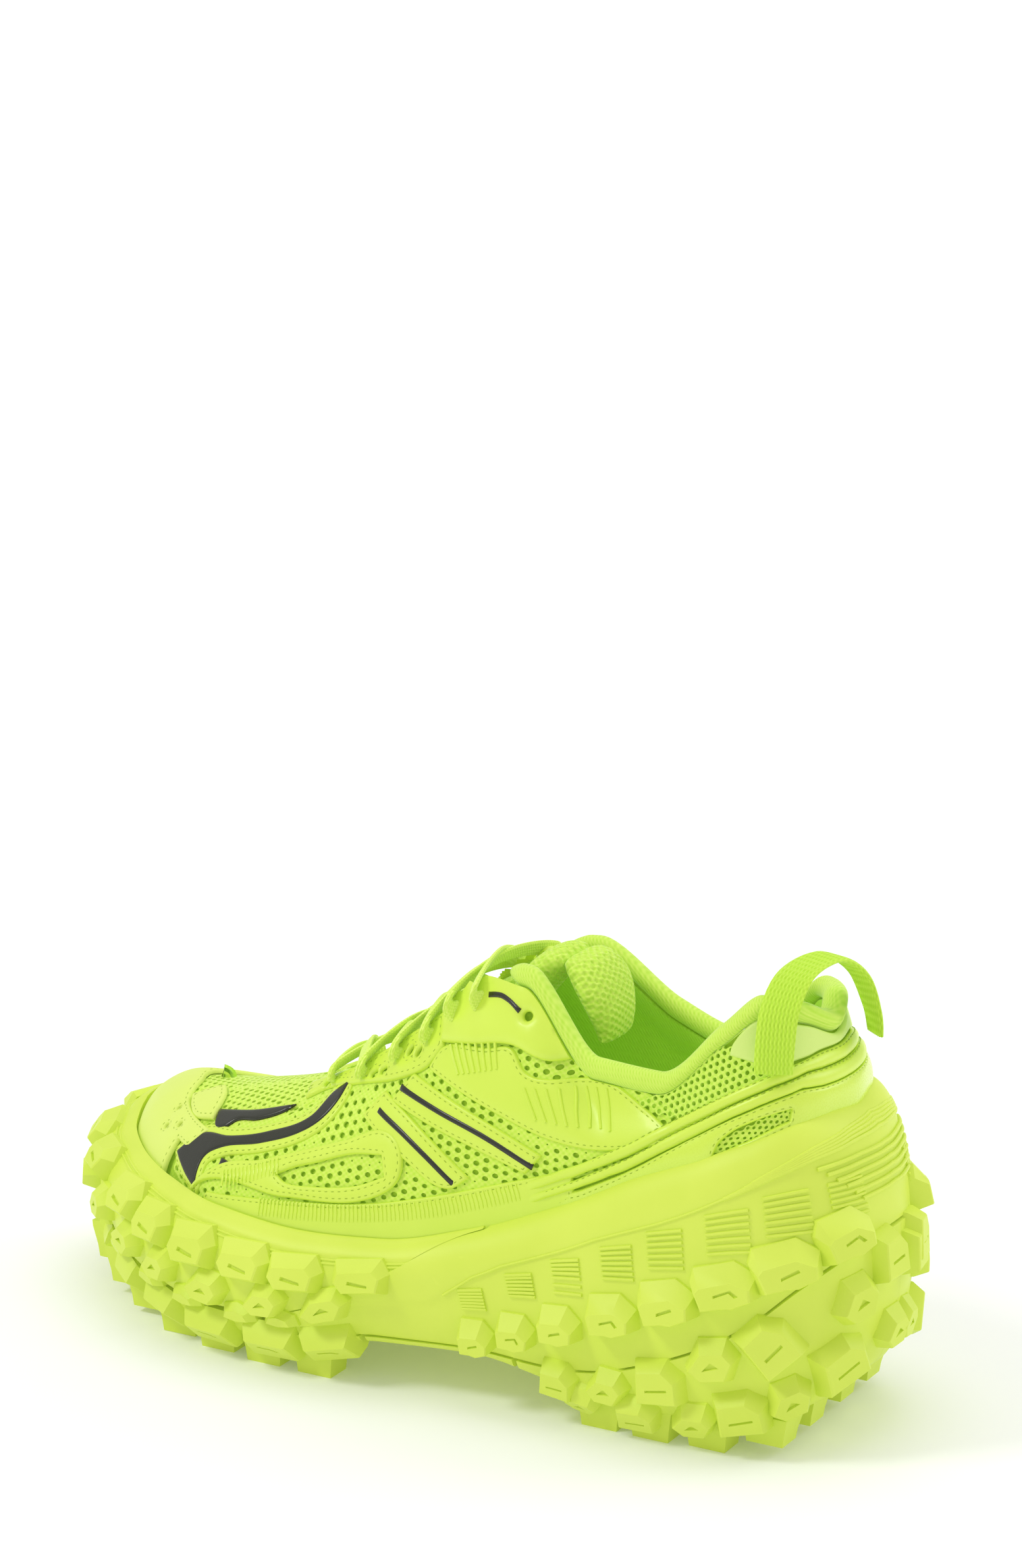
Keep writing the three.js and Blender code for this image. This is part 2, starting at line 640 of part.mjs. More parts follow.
const wrap = (depths, outline) => cut(depths, sidePrism(outline, -90, 90));

// ---------- tongue, laces, collar, loop ----------
function surfaceFrame(t, v) {
  const p = upper(t, v);
  const a = upper(t + 0.05, v).sub(upper(t - 0.05, v));
  const b = upper(t, Math.min(1, v + 0.02)).sub(upper(t, v - 0.02));
  return { p, n: a.cross(b).normalize() };
}

function tongueSection(t) {
  const outer = surfaceFrame(t, 0.84);
  const inner = surfaceFrame(TURN - t, 0.84);
  const left = outer.p.addScaledVector(outer.n, -6);
  const right = inner.p.addScaledVector(inner.n, -6);
  const mid = upper(t, 1).add(upper(TURN - t, 1)).multiplyScalar(0.5);
  mid.z -= 4.2;
  const path = new THREE.QuadraticBezierCurve3(left, mid.clone().multiplyScalar(2)
    .sub(left.clone().add(right).multiplyScalar(0.5)), right);
  const top = path.getPoints(6);
  const low = top.map((p) => p.clone().add(new THREE.Vector3(0.8, 0, -3))).reverse();
  return [...top, ...low];
}

function tongueLower() {
  return loft(range(4.75, 6.9, 7).map(tongueSection));
}

const TONGUE_HINGE = [16, 0, 128];
function tongueTop() {
  const spine = new THREE.CatmullRomCurve3([
    new THREE.Vector3(16, 2, 130), new THREE.Vector3(22, 3, 139), new THREE.Vector3(31, 4, 147),
    new THREE.Vector3(41, 4, 147), new THREE.Vector3(49, 4, 137), new THREE.Vector3(55, 3, 124),
  ]);
  const sections = range(0, 1, 12).map((s) => {
    const c = spine.getPoint(s);
    c.x *= SX;
    c.z *= SZ;
    const dir = spine.getTangent(s);
    const n = new THREE.Vector3(-dir.z, 0, dir.x);
    const half = 10.5 + 5 * Math.sin(Math.PI * Math.min(1, s * 1.1)) ** 0.7;
    const thick = 2.4 + 2.6 * Math.sin(Math.PI * s) ** 0.5;
    return range(0, 11, 11).map((k) => {
      const a = (k / 12) * Math.PI * 2;
      const y = Math.cos(a) * half * SY;
      return c.clone().add(new THREE.Vector3(0, y, 0)).addScaledVector(n, Math.sin(a) * thick);
    });
  });
  return loft(sections);
}

const EYELETS = [4.62, 5.15, 5.66, 6.14, 6.58, 6.98];
function lacePoint(t, v, lift) {
  const f = surfaceFrame(t, v);
  return f.p.addScaledVector(f.n, lift);
}

function laceBar(from, to) {
  const tilt = 0.4 * LACE_WIDTH;
  const lift = (t) => (Math.min(t, TURN - t) > 6.5 ? 4.4 : 2.6) + tilt;
  const a = lacePoint(from, 0.92, lift(from));
  const b = lacePoint(to, 0.92, lift(to));
  const mid = a.clone().add(b).multiplyScalar(0.5);
  const crest = upper(Math.min(from, TURN - from) / 2 + Math.min(to, TURN - to) / 2, 1);
  mid.z = Math.max(mid.z, crest.z + 4.4);
  const curve = new THREE.QuadraticBezierCurve3(a, mid.clone().multiplyScalar(2)
    .sub(a.clone().add(b).multiplyScalar(0.5)), b);
  const rise = new THREE.Vector3(0.55, 0, 0.83);
  return solid(loft(range(0, 1, 3).map((s) => {
    const p = curve.getPoint(s);
    const dir = curve.getTangent(s);
    const wide = dir.clone().cross(new THREE.Vector3(-rise.z, 0, rise.x)).normalize();
    const n = wide.clone().cross(dir).normalize();
    return [[-1, -1], [1, -1], [1, 1], [-1, 1]].map(([q, r]) => p.clone()
      .addScaledVector(wide, (q * LACE_WIDTH) / 2)
      .addScaledVector(n, (r * LACE_THICKNESS) / 2));
  })));
}

function laces() {
  let body = laceBar(EYELETS[0], TURN - EYELETS[0]);
  for (let i = 0; i + 1 < EYELETS.length; i += 1) {
    body = body.add(laceBar(EYELETS[i], TURN - EYELETS[i + 1]));
    body = body.add(laceBar(EYELETS[i + 1], TURN - EYELETS[i]));
  }
  return fromSolid(body);
}

function collarRoll() {
  const sections = range(7.62, TURN - 7.62, 30).map((t) => {
    const p = upper(t, 1);
    const [nx, ny] = planNormal(t);
    const out = new THREE.Vector3(nx, ny, 0);
    p.addScaledVector(out, -2.6);
    p.z += COLLAR_ROLL + FIT_GAP + 1.9;
    return range(0, 5, 5).map((k) => {
      const a = (k / 6) * Math.PI * 2;
      const rise = new THREE.Vector3(0, 0, Math.sin(a) * COLLAR_ROLL);
      return p.clone().addScaledVector(out, Math.cos(a) * 3.6).add(rise);
    });
  });
  return loft(sections);
}

const LOOP_PATH = [[130, -33.5, 131], [128, -32, 142], [126, -29.3, 152], [125, -20.5, 160.2],
  [127, -8, 163.5],
  [131, 4, 163.5], [138, 12, 156], [143, 13, 144], [144.5, 12.5, 134]];
function pullLoop() {
  const knots = LOOP_PATH.map(([x, y, z]) => new THREE.Vector3(x * SX, y * SY, z * SZ));
  const path = new THREE.CatmullRomCurve3(knots);
  return loft(range(0, 1, 22).map((s) => {
    const p = path.getPoint(s);
    const dir = path.getTangent(s);
    const wide = new THREE.Vector3(0.78, 0.62 * (1 - 2.2 * s), 0).normalize();
    wide.addScaledVector(dir, -wide.dot(dir)).normalize();
    const n = wide.clone().cross(dir).normalize();
    return [[-1, -1], [1, -1], [1, 1], [-1, 1]].map(([q, r]) => p.clone()
      .addScaledVector(wide, (q * LOOP_WIDTH) / 2)
      .addScaledVector(n, (r * LOOP_THICKNESS) / 2));
  }));
}

// ---------- assembly ----------
const group = new THREE.Group();
const shoe = new THREE.Group();
group.add(shoe);
const NEON = '#d2f25c';
const RUBBER = '#d3ee55';
const FABRIC = '#cdea68';
const PALE = '#cfe27c';
const BLACK = '#30321e';
const FOAM = '#dfe9b0';

function add(name, geometry, color, roughness = 0.6, metalness = 0) {
  geometry.computeVertexNormals();
  const mesh = new THREE.Mesh(geometry, new THREE.MeshStandardMaterial({ color, roughness, metalness }));
  mesh.name = name;
  shoe.add(mesh);
}

add('forefoot_sidewall', forefootSidewall(), RUBBER);
add('heel_wedge_sidewall', heelWedge(), RUBBER);
add('forefoot_tread', forefootTread(), RUBBER);
add('rear_tread', rearTread(), RUBBER);
add('arch_shank', archShank(), RUBBER);
add('midsole_foam', plate(0, HALF, 21, FIT_GAP, CORE_LOW, CORE_TOP), FOAM, 0.9);
add('lasting_board', plate(0, HALF, 21, FEATHER_GAP, BOARD_LOW, BOARD_TOP), FOAM, 0.9);
const LINER_INSET = FEATHER_GAP + 6.2;
add('sockliner_front', plate(2 / 3, LINER_SPLIT, 13, LINER_INSET, LINER_LOW, LINER_TOP), FABRIC, 0.9);
add('sockliner_heel', plate(LINER_SPLIT + 0.03, HALF, 7, LINER_INSET, LINER_LOW, LINER_TOP), FABRIC, 0.9);
add('mesh_upper', shellLayer(KNIT), FABRIC, 0.9);
add('lining', shellLayer(LINING), FABRIC, 0.9);
add('toe_puff', cut(STIFFENER, planPrism(PUFF, 0, 200)), FOAM, 0.8);
add('heel_counter', wrap(STIFFENER, COUNTER), FOAM, 0.8);
add('toe_cap', cut(OVERLAY, planPrism(TOE_CAP, 0, 200)), NEON, 0.5);
add('toe_tab', cut(OVERLAY, planPrism(TOE_TAB, 0, 200)), NEON, 0.5);
for (const which of ['lateral', 'medial']) {
  add(`flame_film_${which}`, film(FLAME_LARGE, which), BLACK, 0.25);
  add(`flame_accent_${which}`, film(FLAME_SMALL, which), BLACK, 0.25);
  add(`forefoot_overlay_${which}`, sidePatch(OVERLAY_2, FORE_OVERLAY, which, [FORE_WINDOW]), NEON, 0.5);
  add(`mudguard_${which}`, sidePatch(OVERLAY, MUDGUARD, which), NEON, 0.5);
  add(`strap_front_${which}`, sidePatch(OVERLAY, STRAP_FRONT, which), NEON, 0.5);
  add(`strap_rear_${which}`, sidePatch(OVERLAY, STRAP_REAR, which), NEON, 0.5);
  add(`quarter_overlay_${which}`, sidePatch(OVERLAY, QUARTER, which), NEON, 0.5);
  add(`eyestay_${which}`, sidePatch(OVERLAY, EYESTAY, which), NEON, 0.5);
  add(`top_eyelet_panel_${which}`, sidePatch(OVERLAY_2, TOP_EYELET, which), NEON, 0.5);
  add(`collar_mesh_${which}`, sidePatch(OVERLAY, COLLAR_MESH, which), FABRIC, 0.9);
}
add('heel_tab', wrap(OVERLAY, HEEL_TAB), PALE, 0.6);
add('heel_band_upper', wrap(OVERLAY_2, band(0)), NEON, 0.45);
add('heel_band_lower', wrap(OVERLAY_2, band(1)), NEON, 0.45);
add('heel_skin', wrap(OVERLAY, heelSkinOutline()), NEON, 0.3);
add('collar_roll', collarRoll(), FABRIC, 0.9);
add('tongue_lower', tongueLower(), FABRIC, 0.9);
add('tongue_top', tongueTop(), FABRIC, 0.9);
add('laces', laces(), '#daf07d', 0.9);
add('pull_loop', pullLoop(), FABRIC, 0.9);

const box = new THREE.Box3().setFromObject(shoe);
const middle = box.getCenter(new THREE.Vector3());
shoe.position.set(-middle.x, -middle.y, -box.min.z);

export default group;
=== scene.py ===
# Chunky trail running shoe, left foot: the visible pieces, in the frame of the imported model.
# Millimetres in the shape functions; +X runs to the heel, -Y is the outer side, +Z is up.
import math
import bpy
import bmesh
import numpy as np
from mathutils import Matrix, Vector
from mathutils.bvhtree import BVHTree
from mathutils.geometry import delaunay_2d_cdt


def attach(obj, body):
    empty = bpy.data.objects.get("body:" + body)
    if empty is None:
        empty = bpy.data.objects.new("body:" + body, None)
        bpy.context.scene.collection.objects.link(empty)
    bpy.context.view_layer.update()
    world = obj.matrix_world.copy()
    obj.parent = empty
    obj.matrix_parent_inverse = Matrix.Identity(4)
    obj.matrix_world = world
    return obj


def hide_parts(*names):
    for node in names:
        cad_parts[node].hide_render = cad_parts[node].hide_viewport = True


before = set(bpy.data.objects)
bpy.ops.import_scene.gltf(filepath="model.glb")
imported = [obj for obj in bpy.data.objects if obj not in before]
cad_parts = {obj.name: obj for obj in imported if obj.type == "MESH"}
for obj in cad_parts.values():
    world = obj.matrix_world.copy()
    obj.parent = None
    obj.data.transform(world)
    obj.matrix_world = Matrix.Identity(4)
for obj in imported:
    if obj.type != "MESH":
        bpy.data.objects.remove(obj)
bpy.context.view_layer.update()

scene = bpy.context.scene
MM = 0.001
FRAME_SHIFT = np.array([3.7978, 2.5714, 0.0])
TURN = 28
SHOE = "shoe"

# ---------- stations of the sole and upper: toe to heel, outer side then inner side ----------
STATIONS = {
    "x": [[-167, -159, -141, -112, -80, -44, -8, 26, 56, 84, 108, 128, 146, 158, 162]],
    "y": [[18, -5, -26, -47, -59, -62, -59, -55, -53, -54, -53, -49, -39, -20, 0],
          [18, 39, 50, 55, 57, 54.5, 49, 45.5, 47, 50, 50, 47, 37, 19, 0]],
    "rim": [[60, 57, 55, 54, 52.5, 51, 53, 62, 75, 90, 100, 108, 114, 115, 114],
            [60, 64, 62, 58, 54, 52, 54, 62, 75, 90, 100, 108, 114, 115, 114]],
    "rim_inset": [[15, 15, 14, 13, 11, 10, 9.5, 10, 10.5, 11, 11, 12, 14, 17, 18]],
    "wide": [[42, 41, 39, 37, 36, 36, 41, 48, 54, 58, 61, 63, 63, 63, 63]],
    "edge": [[20, 19, 16, 12, 10, 11, 17, 18, 13, 10, 10, 11, 15, 19, 21]],
    "edge_inset": [[12, 12, 11, 10, 9, 8, 8, 8, 8, 8, 9, 9, 10, 12, 14]],
    "top_x": [[-113, -111, -103, -90, -66, -38, -10, 15, 33, 62, 87, 109, 123, 132, 136]],
    "top_y": [[10, 8, 6, 4, 2, -12, -15, -18, -24, -30, -33, -31, -26, -14, 0],
              [10, 8, 6, 4, 2, 13, 16, 21, 29, 33, 33, 30, 25, 14, 0]],
    "top_z": [[77, 77.5, 79, 82, 89, 102, 122, 142, 143, 117, 117, 136, 147, 143.5, 138],
              [77, 77.5, 79, 82, 89, 102, 122, 141, 141, 122, 114, 128, 141, 141.5, 138]],
    "bulge": [[3, 3, 3, 3, 3, 2, 2, 3, 4, 5, 5, 5, 5, 5, 5]],
    "rise": [[17, 17, 17, 19, 22, 26, 30, 30, 30, 22, 18, 20, 22, 22, 20]],
    "reach": [[9, 9, 10, 14, 18, 16, 15, 14, 8, 3, 3, 3, 3, 3, 3]],
    "drop": [[0, 0, 0, 0, 1, 12, 14, 16, 18, 15, 14, 16, 18, 18, 16]],
    "fore_seam": [[.72, .72, .72, .72, .72, .66, .45, .06, 0, 0, 0, 0, 0, 0, 0]],
    "tread_seam": [[.75, .75, .75, .75, .76, .8, .85, .87, .82, .74, .67, .6, .5, .44, .42]],
}
RING = {}
for key, sides in STATIONS.items():
    RING[key] = np.array(sides[0] + sides[-1][1:-1][::-1], float)


def at(key, t):
    values = RING[key]
    count = len(values)
    t = np.asarray(t, float)
    whole = np.floor(t).astype(int)
    f = t - whole
    i = whole % count
    j = (i + 1) % count

    def slope(k):
        before = values[k] - values[(k - 1) % count]
        after = values[(k + 1) % count] - values[k]
        product = before * after
        return np.where(product > 0, 2 * product / np.where(product > 0, before + after, 1), 0)

    f2, f3 = f * f, f * f * f
    start = values[i] * (2 * f3 - 3 * f2 + 1) + slope(i) * (f3 - 2 * f2 + f)
    return start + values[j] * (3 * f2 - 2 * f3) + slope(j) * (f3 - f2)


def plan_normal(t):
    dx = at("x", t + 0.02) - at("x", t - 0.02)
    dy = at("y", t + 0.02) - at("y", t - 0.02)
    size = np.hypot(dx, dy)
    return dy / size, -dx / size


def inset(t, amount, z):
    nx, ny = plan_normal(t)
    return np.stack(np.broadcast_arrays(at("x", t) - nx * amount, at("y", t) - ny * amount, z), -1)


def side(t, h):
    t, h = np.broadcast_arrays(np.asarray(t, float), np.asarray(h, float))
    wide = at("wide", t)
    a = np.abs(h - 0.5) * math.pi
    above = h < 0.5
    amount = np.where(above, at("rim_inset", t), at("edge_inset", t)) * (1 - np.cos(a))
    end = np.where(above, at("rim", t), at("edge", t))
    return inset(t, amount, wide + (end - wide) * np.sin(a))


def upper(t, v):
    t, v = np.broadcast_arrays(np.asarray(t, float), np.asarray(v, float))
    nx, ny = plan_normal(t)
    foot = inset(t, at("rim_inset", t) + 1.6, at("rim", t) - 9)
    top = np.stack([at("top_x", t), at("top_y", t), at("top_z", t)], -1)
    bulge, reach = at("bulge", t), at("reach", t)
    low = foot + np.stack([nx * bulge, ny * bulge, at("rise", t)], -1)
    high = top + np.stack([nx * reach, ny * reach, -at("drop", t)], -1)
    v = v[..., None]
    w = 1 - v
    return foot * w ** 3 + 3 * low * v * w * w + 3 * high * v * v * w + top * v ** 3


def outward_of(surface, t, b, e=0.012):
    t, b = np.broadcast_arrays(np.asarray(t, float), np.asarray(b, float))
    along = surface(t + e, b) - surface(t - e, b)
    up = surface(t, b + e) - surface(t, b - e)
    n = np.cross(along, up) * (1 if surface is upper else -1)
    return n / np.maximum(np.linalg.norm(n, axis=-1, keepdims=True), 1e-9)


def raised(surface, t, b, height):
    height = np.asarray(height, float)
    return surface(t, b) + outward_of(surface, t, b) * height[..., None]


# ---------- camera ----------
CAMERA_PLACE = (0.71078, -1.22196, 0.57571)
CAMERA_YAW = -0.51563
CAMERA_PITCH = -0.25685
camera = bpy.data.objects.new("camera", bpy.data.cameras.new("camera"))
camera.location = CAMERA_PLACE
camera.rotation_euler = (math.pi / 2 + CAMERA_PITCH, 0, -CAMERA_YAW)
camera.data.sensor_fit = "VERTICAL"
camera.data.sensor_height = 36
camera.data.lens = 6500 / 2380 * 36
camera.data.clip_start = 0.05
camera.data.clip_end = 20
scene.collection.objects.link(camera)
scene.camera = camera


# ---------- shader groups shared by the finishes ----------
def socket_pair(tree, name, where, kind, value=None):
    made = tree.interface.new_socket(name=name, in_out=where, socket_type=kind)
    if value is not None:
        made.default_value = value
    return made


def node(tree, kind, links=(), **settings):
    made = tree.nodes.new(kind)
    for key, value in settings.items():
        if key.startswith("in_"):
            made.inputs[key[3:].replace("_", " ")].default_value = value
        else:
            setattr(made, key, value)
    for socket, source in dict(links).items():
        tree.links.new(source, made.inputs[socket])
    return made


def math_node(tree, operation, a, b=None, c=None):
    made = tree.nodes.new("ShaderNodeMath")
    made.operation = operation
    for i, value in enumerate((a, b, c)):
        if value is None:
            continue
        if isinstance(value, (int, float)):
            made.inputs[i].default_value = value
        else:
            tree.links.new(value, made.inputs[i])
    return made.outputs[0]


def shader_group(name, inputs, outputs):
    tree = bpy.data.node_groups.new(name, "ShaderNodeTree")
    for label, kind, value in inputs:
        socket_pair(tree, label, "INPUT", kind, value)
    for label, kind in outputs:
        socket_pair(tree, label, "OUTPUT", kind)
    return tree, tree.nodes.new("NodeGroupInput"), tree.nodes.new("NodeGroupOutput")


FLOAT, COLOUR, VECTOR = "NodeSocketFloat", "NodeSocketColor", "NodeSocketVector"


def moulded_grain_group():
    tree, given, out = shader_group(
        "moulded_grain",
        [("Place", VECTOR, None), ("Light", COLOUR, (1, 1, 1, 1)), ("Deep", COLOUR, (0, 0, 0, 1)),
         ("Fine", FLOAT, 2.2), ("Dull", FLOAT, 0.5)],
        [("Colour", COLOUR), ("Roughness", FLOAT), ("Height", FLOAT)])
    fine = node(tree, "ShaderNodeTexNoise", {"Vector": given.outputs["Place"]}, in_Scale=1400, in_Detail=3)
    broad = node(tree, "ShaderNodeTexNoise", {"Vector": given.outputs["Place"]}, in_Scale=26, in_Detail=4)
    marks = node(tree, "ShaderNodeTexNoise", {"Vector": given.outputs["Place"]}, in_Scale=190, in_Detail=2)
    tone = math_node(tree, "MULTIPLY_ADD", broad.outputs["Fac"], 1.3, -0.15)
    spot = math_node(tree, "GREATER_THAN", marks.outputs["Fac"], 0.72)
    mixed = node(tree, "ShaderNodeMix", data_type="RGBA")
    tree.links.new(math_node(tree, "MULTIPLY_ADD", spot, 0.12, tone), mixed.inputs["Factor"])
    tree.links.new(given.outputs["Deep"], mixed.inputs[6])
    tree.links.new(given.outputs["Light"], mixed.inputs[7])
    tree.links.new(mixed.outputs[2], out.inputs["Colour"])
    rough = math_node(tree, "MULTIPLY_ADD", fine.outputs["Fac"], 0.16, given.outputs["Dull"])
    tree.links.new(rough, out.inputs["Roughness"])
    height = math_node(tree, "MULTIPLY", fine.outputs["Fac"], given.outputs["Fine"])
    tree.links.new(height, out.inputs["Height"])
    return tree


def thread_group():
    tree, given, out = shader_group(
        "crossed_threads",
        [("Place", VECTOR, None), ("Light", COLOUR, (1, 1, 1, 1)), ("Deep", COLOUR, (0, 0, 0, 1)),
         ("Along", FLOAT, 900), ("Across", FLOAT, 900), ("Slant", FLOAT, 0.0)],
        [("Colour", COLOUR), ("Height", FLOAT)])
    split = node(tree, "ShaderNodeSeparateXYZ", {"Vector": given.outputs["Place"]})
    x = math_node(tree, "MULTIPLY_ADD", split.outputs["Z"], given.outputs["Slant"], split.outputs["X"])
    flat = math_node(tree, "ADD", split.outputs["Z"], math_node(tree, "MULTIPLY", split.outputs["Y"], 0.6))
    warp = math_node(tree, "SINE", math_node(tree, "MULTIPLY", x, given.outputs["Along"]))
    weft = math_node(tree, "SINE", math_node(tree, "MULTIPLY", flat, given.outputs["Across"]))
    both = math_node(tree, "MULTIPLY", warp, weft)
    height = math_node(tree, "MULTIPLY_ADD", both, 0.5, 0.5)
    fuzz = node(tree, "ShaderNodeTexNoise", {"Vector": given.outputs["Place"]}, in_Scale=700, in_Detail=3)
    total = math_node(tree, "MULTIPLY_ADD", fuzz.outputs["Fac"], 0.5, height)
    mixed = node(tree, "ShaderNodeMix", data_type="RGBA")
    tree.links.new(math_node(tree, "MULTIPLY", total, 0.75), mixed.inputs["Factor"])
    tree.links.new(given.outputs["Deep"], mixed.inputs[6])
    tree.links.new(given.outputs["Light"], mixed.inputs[7])
    tree.links.new(mixed.outputs[2], out.inputs["Colour"])
    tree.links.new(total, out.inputs["Height"])
    return tree


GRAIN = moulded_grain_group()
THREADS = thread_group()


def finish_base(name, glow, sheen, coat, gloss):
    material = bpy.data.materials.new(name)
    material.use_nodes = True
    tree = material.node_tree
    shader = tree.nodes["Principled BSDF"]
    shader.inputs["Sheen Weight"].default_value = sheen
    shader.inputs["Sheen Roughness"].default_value = 0.4
    shader.inputs["Coat Weight"].default_value = coat
    shader.inputs["Coat Roughness"].default_value = 0.25
    shader.inputs["Specular IOR Level"].default_value = gloss
    # painted glow: emission strength that makes the surface give off its own light
    shader.inputs["Emission Strength"].default_value = glow
    return material, tree, shader


def bumped(tree, shader, height, strength, distance):
    bump = node(tree, "ShaderNodeBump", {"Height": height}, in_Strength=strength, in_Distance=distance)
    tree.links.new(bump.outputs["Normal"], shader.inputs["Normal"])


def moulded(name, light, deep, dull=0.5, glow=0.0, coat=0.0, fine=1.0, gloss=0.4, relief=0.00008):
    material, tree, shader = finish_base(name, glow, 0.0, coat, gloss)
    place = node(tree, "ShaderNodeTexCoord").outputs["Object"]
    grain = node(tree, "ShaderNodeGroup", node_tree=GRAIN)
    tree.links.new(place, grain.inputs["Place"])
    grain.inputs["Light"].default_value = (*light, 1)
    grain.inputs["Deep"].default_value = (*deep, 1)
    grain.inputs["Dull"].default_value = dull - 0.08
    grain.inputs["Fine"].default_value = fine
    tree.links.new(grain.outputs["Colour"], shader.inputs["Base Color"])
    # painted glow: the grain colour is also given off as light, brightening the part in shade
    tree.links.new(grain.outputs["Colour"], shader.inputs["Emission Color"])
    tree.links.new(grain.outputs["Roughness"], shader.inputs["Roughness"])
    bumped(tree, shader, grain.outputs["Height"], 0.35, relief)
    return material


def cloth(name, light, deep, along=2600, across=2600, slant=0.0, source="Object", glow=0.0, relief=0.0002):
    material, tree, shader = finish_base(name, glow, 0.25, 0.0, 0.25)
    if source == "Object":
        place = node(tree, "ShaderNodeTexCoord").outputs["Object"]
    else:
        place = node(tree, "ShaderNodeAttribute", attribute_name=source).outputs["Vector"]
    weave = node(tree, "ShaderNodeGroup", node_tree=THREADS)
    tree.links.new(place, weave.inputs["Place"])
    weave.inputs["Light"].default_value = (*light, 1)
    weave.inputs["Deep"].default_value = (*deep, 1)
    weave.inputs["Along"].default_value = along
    weave.inputs["Across"].default_value = across
    weave.inputs["Slant"].default_value = slant
    tree.links.new(weave.outputs["Colour"], shader.inputs["Base Color"])
    # painted glow: the weave colour is also given off as light, brightening the part in shade
    tree.links.new(weave.outputs["Colour"], shader.inputs["Emission Color"])
    shader.inputs["Roughness"].default_value = 0.85
    bumped(tree, shader, weave.outputs["Height"], 0.6, relief)
    return material


# painted glow: emission strength that lets the lime finishes light themselves and lifts their shaded sides
GLOW = 0.10
FINISH = {
    "rubber": moulded("sole_rubber", (0.66, 0.78, 0.10), (0.57, 0.71, 0.065), 0.5, GLOW),
    "overlay": moulded("smooth_overlay", (0.62, 0.79, 0.085), (0.56, 0.74, 0.06), 0.4, GLOW, 0.2),
    "skin": moulded("heel_skin_gloss", (0.62, 0.79, 0.085), (0.56, 0.75, 0.06), 0.28, GLOW, 0.4),
    "cap": moulded("toe_cap_soft", (0.69, 0.81, 0.17), (0.63, 0.76, 0.13), 0.5, GLOW),
    "pale": moulded("pale_leather", (0.62, 0.78, 0.2), (0.57, 0.73, 0.17), 0.5, GLOW, fine=2.5),
    "black": moulded("black_film_gloss", (0.022, 0.024, 0.01), (0.014, 0.015, 0.007), 0.3, 0, 0.3),
    "foam": moulded("foam_core", (0.7, 0.8, 0.4), (0.62, 0.72, 0.33), 0.8, 0, fine=3.0),
    "mesh": cloth("open_mesh_knit", (0.65, 0.81, 0.13), (0.48, 0.74, 0.05), glow=GLOW),
    "backing": cloth("mesh_backing", (0.5, 0.72, 0.06), (0.42, 0.64, 0.04), glow=0.08),
    "spacer": cloth("spacer_mesh_knit", (0.62, 0.8, 0.13), (0.45, 0.72, 0.05), glow=GLOW),
    "lining": cloth("ribbed_lining", (0.52, 0.8, 0.09), (0.42, 0.71, 0.045), 5200, 900, 0.6, glow=GLOW),
    "binding": cloth("ribbed_binding", (0.62, 0.8, 0.13), (0.44, 0.7, 0.05), 5200, 1300, 0.7, glow=GLOW),
    "lace": cloth("flat_lace", (0.72, 0.88, 0.17), (0.55, 0.77, 0.08), 4200, 5200, 0.0, "weave", GLOW),
    "webbing": cloth("ribbed_webbing", (0.56, 0.8, 0.08), (0.4, 0.66, 0.03), 4800, 2300, 0.0, "weave", GLOW),
    "thread": cloth("seam_thread", (0.42, 0.58, 0.05), (0.3, 0.46, 0.03), 9000, 9000, glow=0.02),
}


# ---------- mesh helpers ----------
def piece_from(name, points, faces, finish, closed=True, angle=40):
    mesh = bpy.data.meshes.new(name)
    mesh.from_pydata(((np.asarray(points) + FRAME_SHIFT) * MM).tolist(), [], faces)
    obj = bpy.data.objects.new(name, mesh)
    scene.collection.objects.link(obj)
    tidy_mesh(obj, closed)
    settle_shading(mesh, angle)
    mesh.materials.append(FINISH[finish])
    return obj


def tidy_mesh(obj, closed=True):
    work = bmesh.new()
    work.from_mesh(obj.data)
    bmesh.ops.remove_doubles(work, verts=work.verts, dist=2e-6)
    bmesh.ops.dissolve_degenerate(work, dist=1e-6, edges=work.edges)
    if closed:
        bmesh.ops.recalc_face_normals(work, faces=work.faces)
    work.to_mesh(obj.data)
    work.free()


def settle_shading(mesh, angle=40):
    mesh.polygons.foreach_set("use_smooth", [True] * len(mesh.polygons))
    mesh.set_sharp_from_angle(angle=math.radians(angle))


def keep(obj, body=SHOE, stands_for=()):
    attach(obj, body)
    if stands_for:
        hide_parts(*stands_for)
    return obj


def ring_faces(rows, count, loop_rows=False, caps=True):
    faces = []
    last = rows if loop_rows else rows - 1
    for i in range(last):
        for j in range(count):
            a, b = i * count + j, i * count + (j + 1) % count
            k = ((i + 1) % rows) * count
            faces.append((a, b, k + (j + 1) % count, k + j))
    if caps and not loop_rows:
        faces.append(tuple(range(count)))
        faces.append(tuple((rows - 1) * count + j for j in range(count)))
    return faces


def lofted(name, sections, finish, loop_rows=False, angle=40):
    sections = np.asarray(sections)
    rows, count = sections.shape[:2]
    return piece_from(name, sections.reshape(-1, 3), ring_faces(rows, count, loop_rows), finish, True, angle)


def store(mesh, name, values):
    made = mesh.attributes.new(name, "FLOAT_VECTOR", "POINT")
    made.data.foreach_set("vector", np.asarray(values, float).ravel())


def joined(name, parts):
    bpy.ops.object.select_all(action="DESELECT")
    for part in parts:
        part.select_set(True)
    bpy.context.view_layer.objects.active = parts[0]
    bpy.ops.object.join()
    parts[0].name = name
    return parts[0]


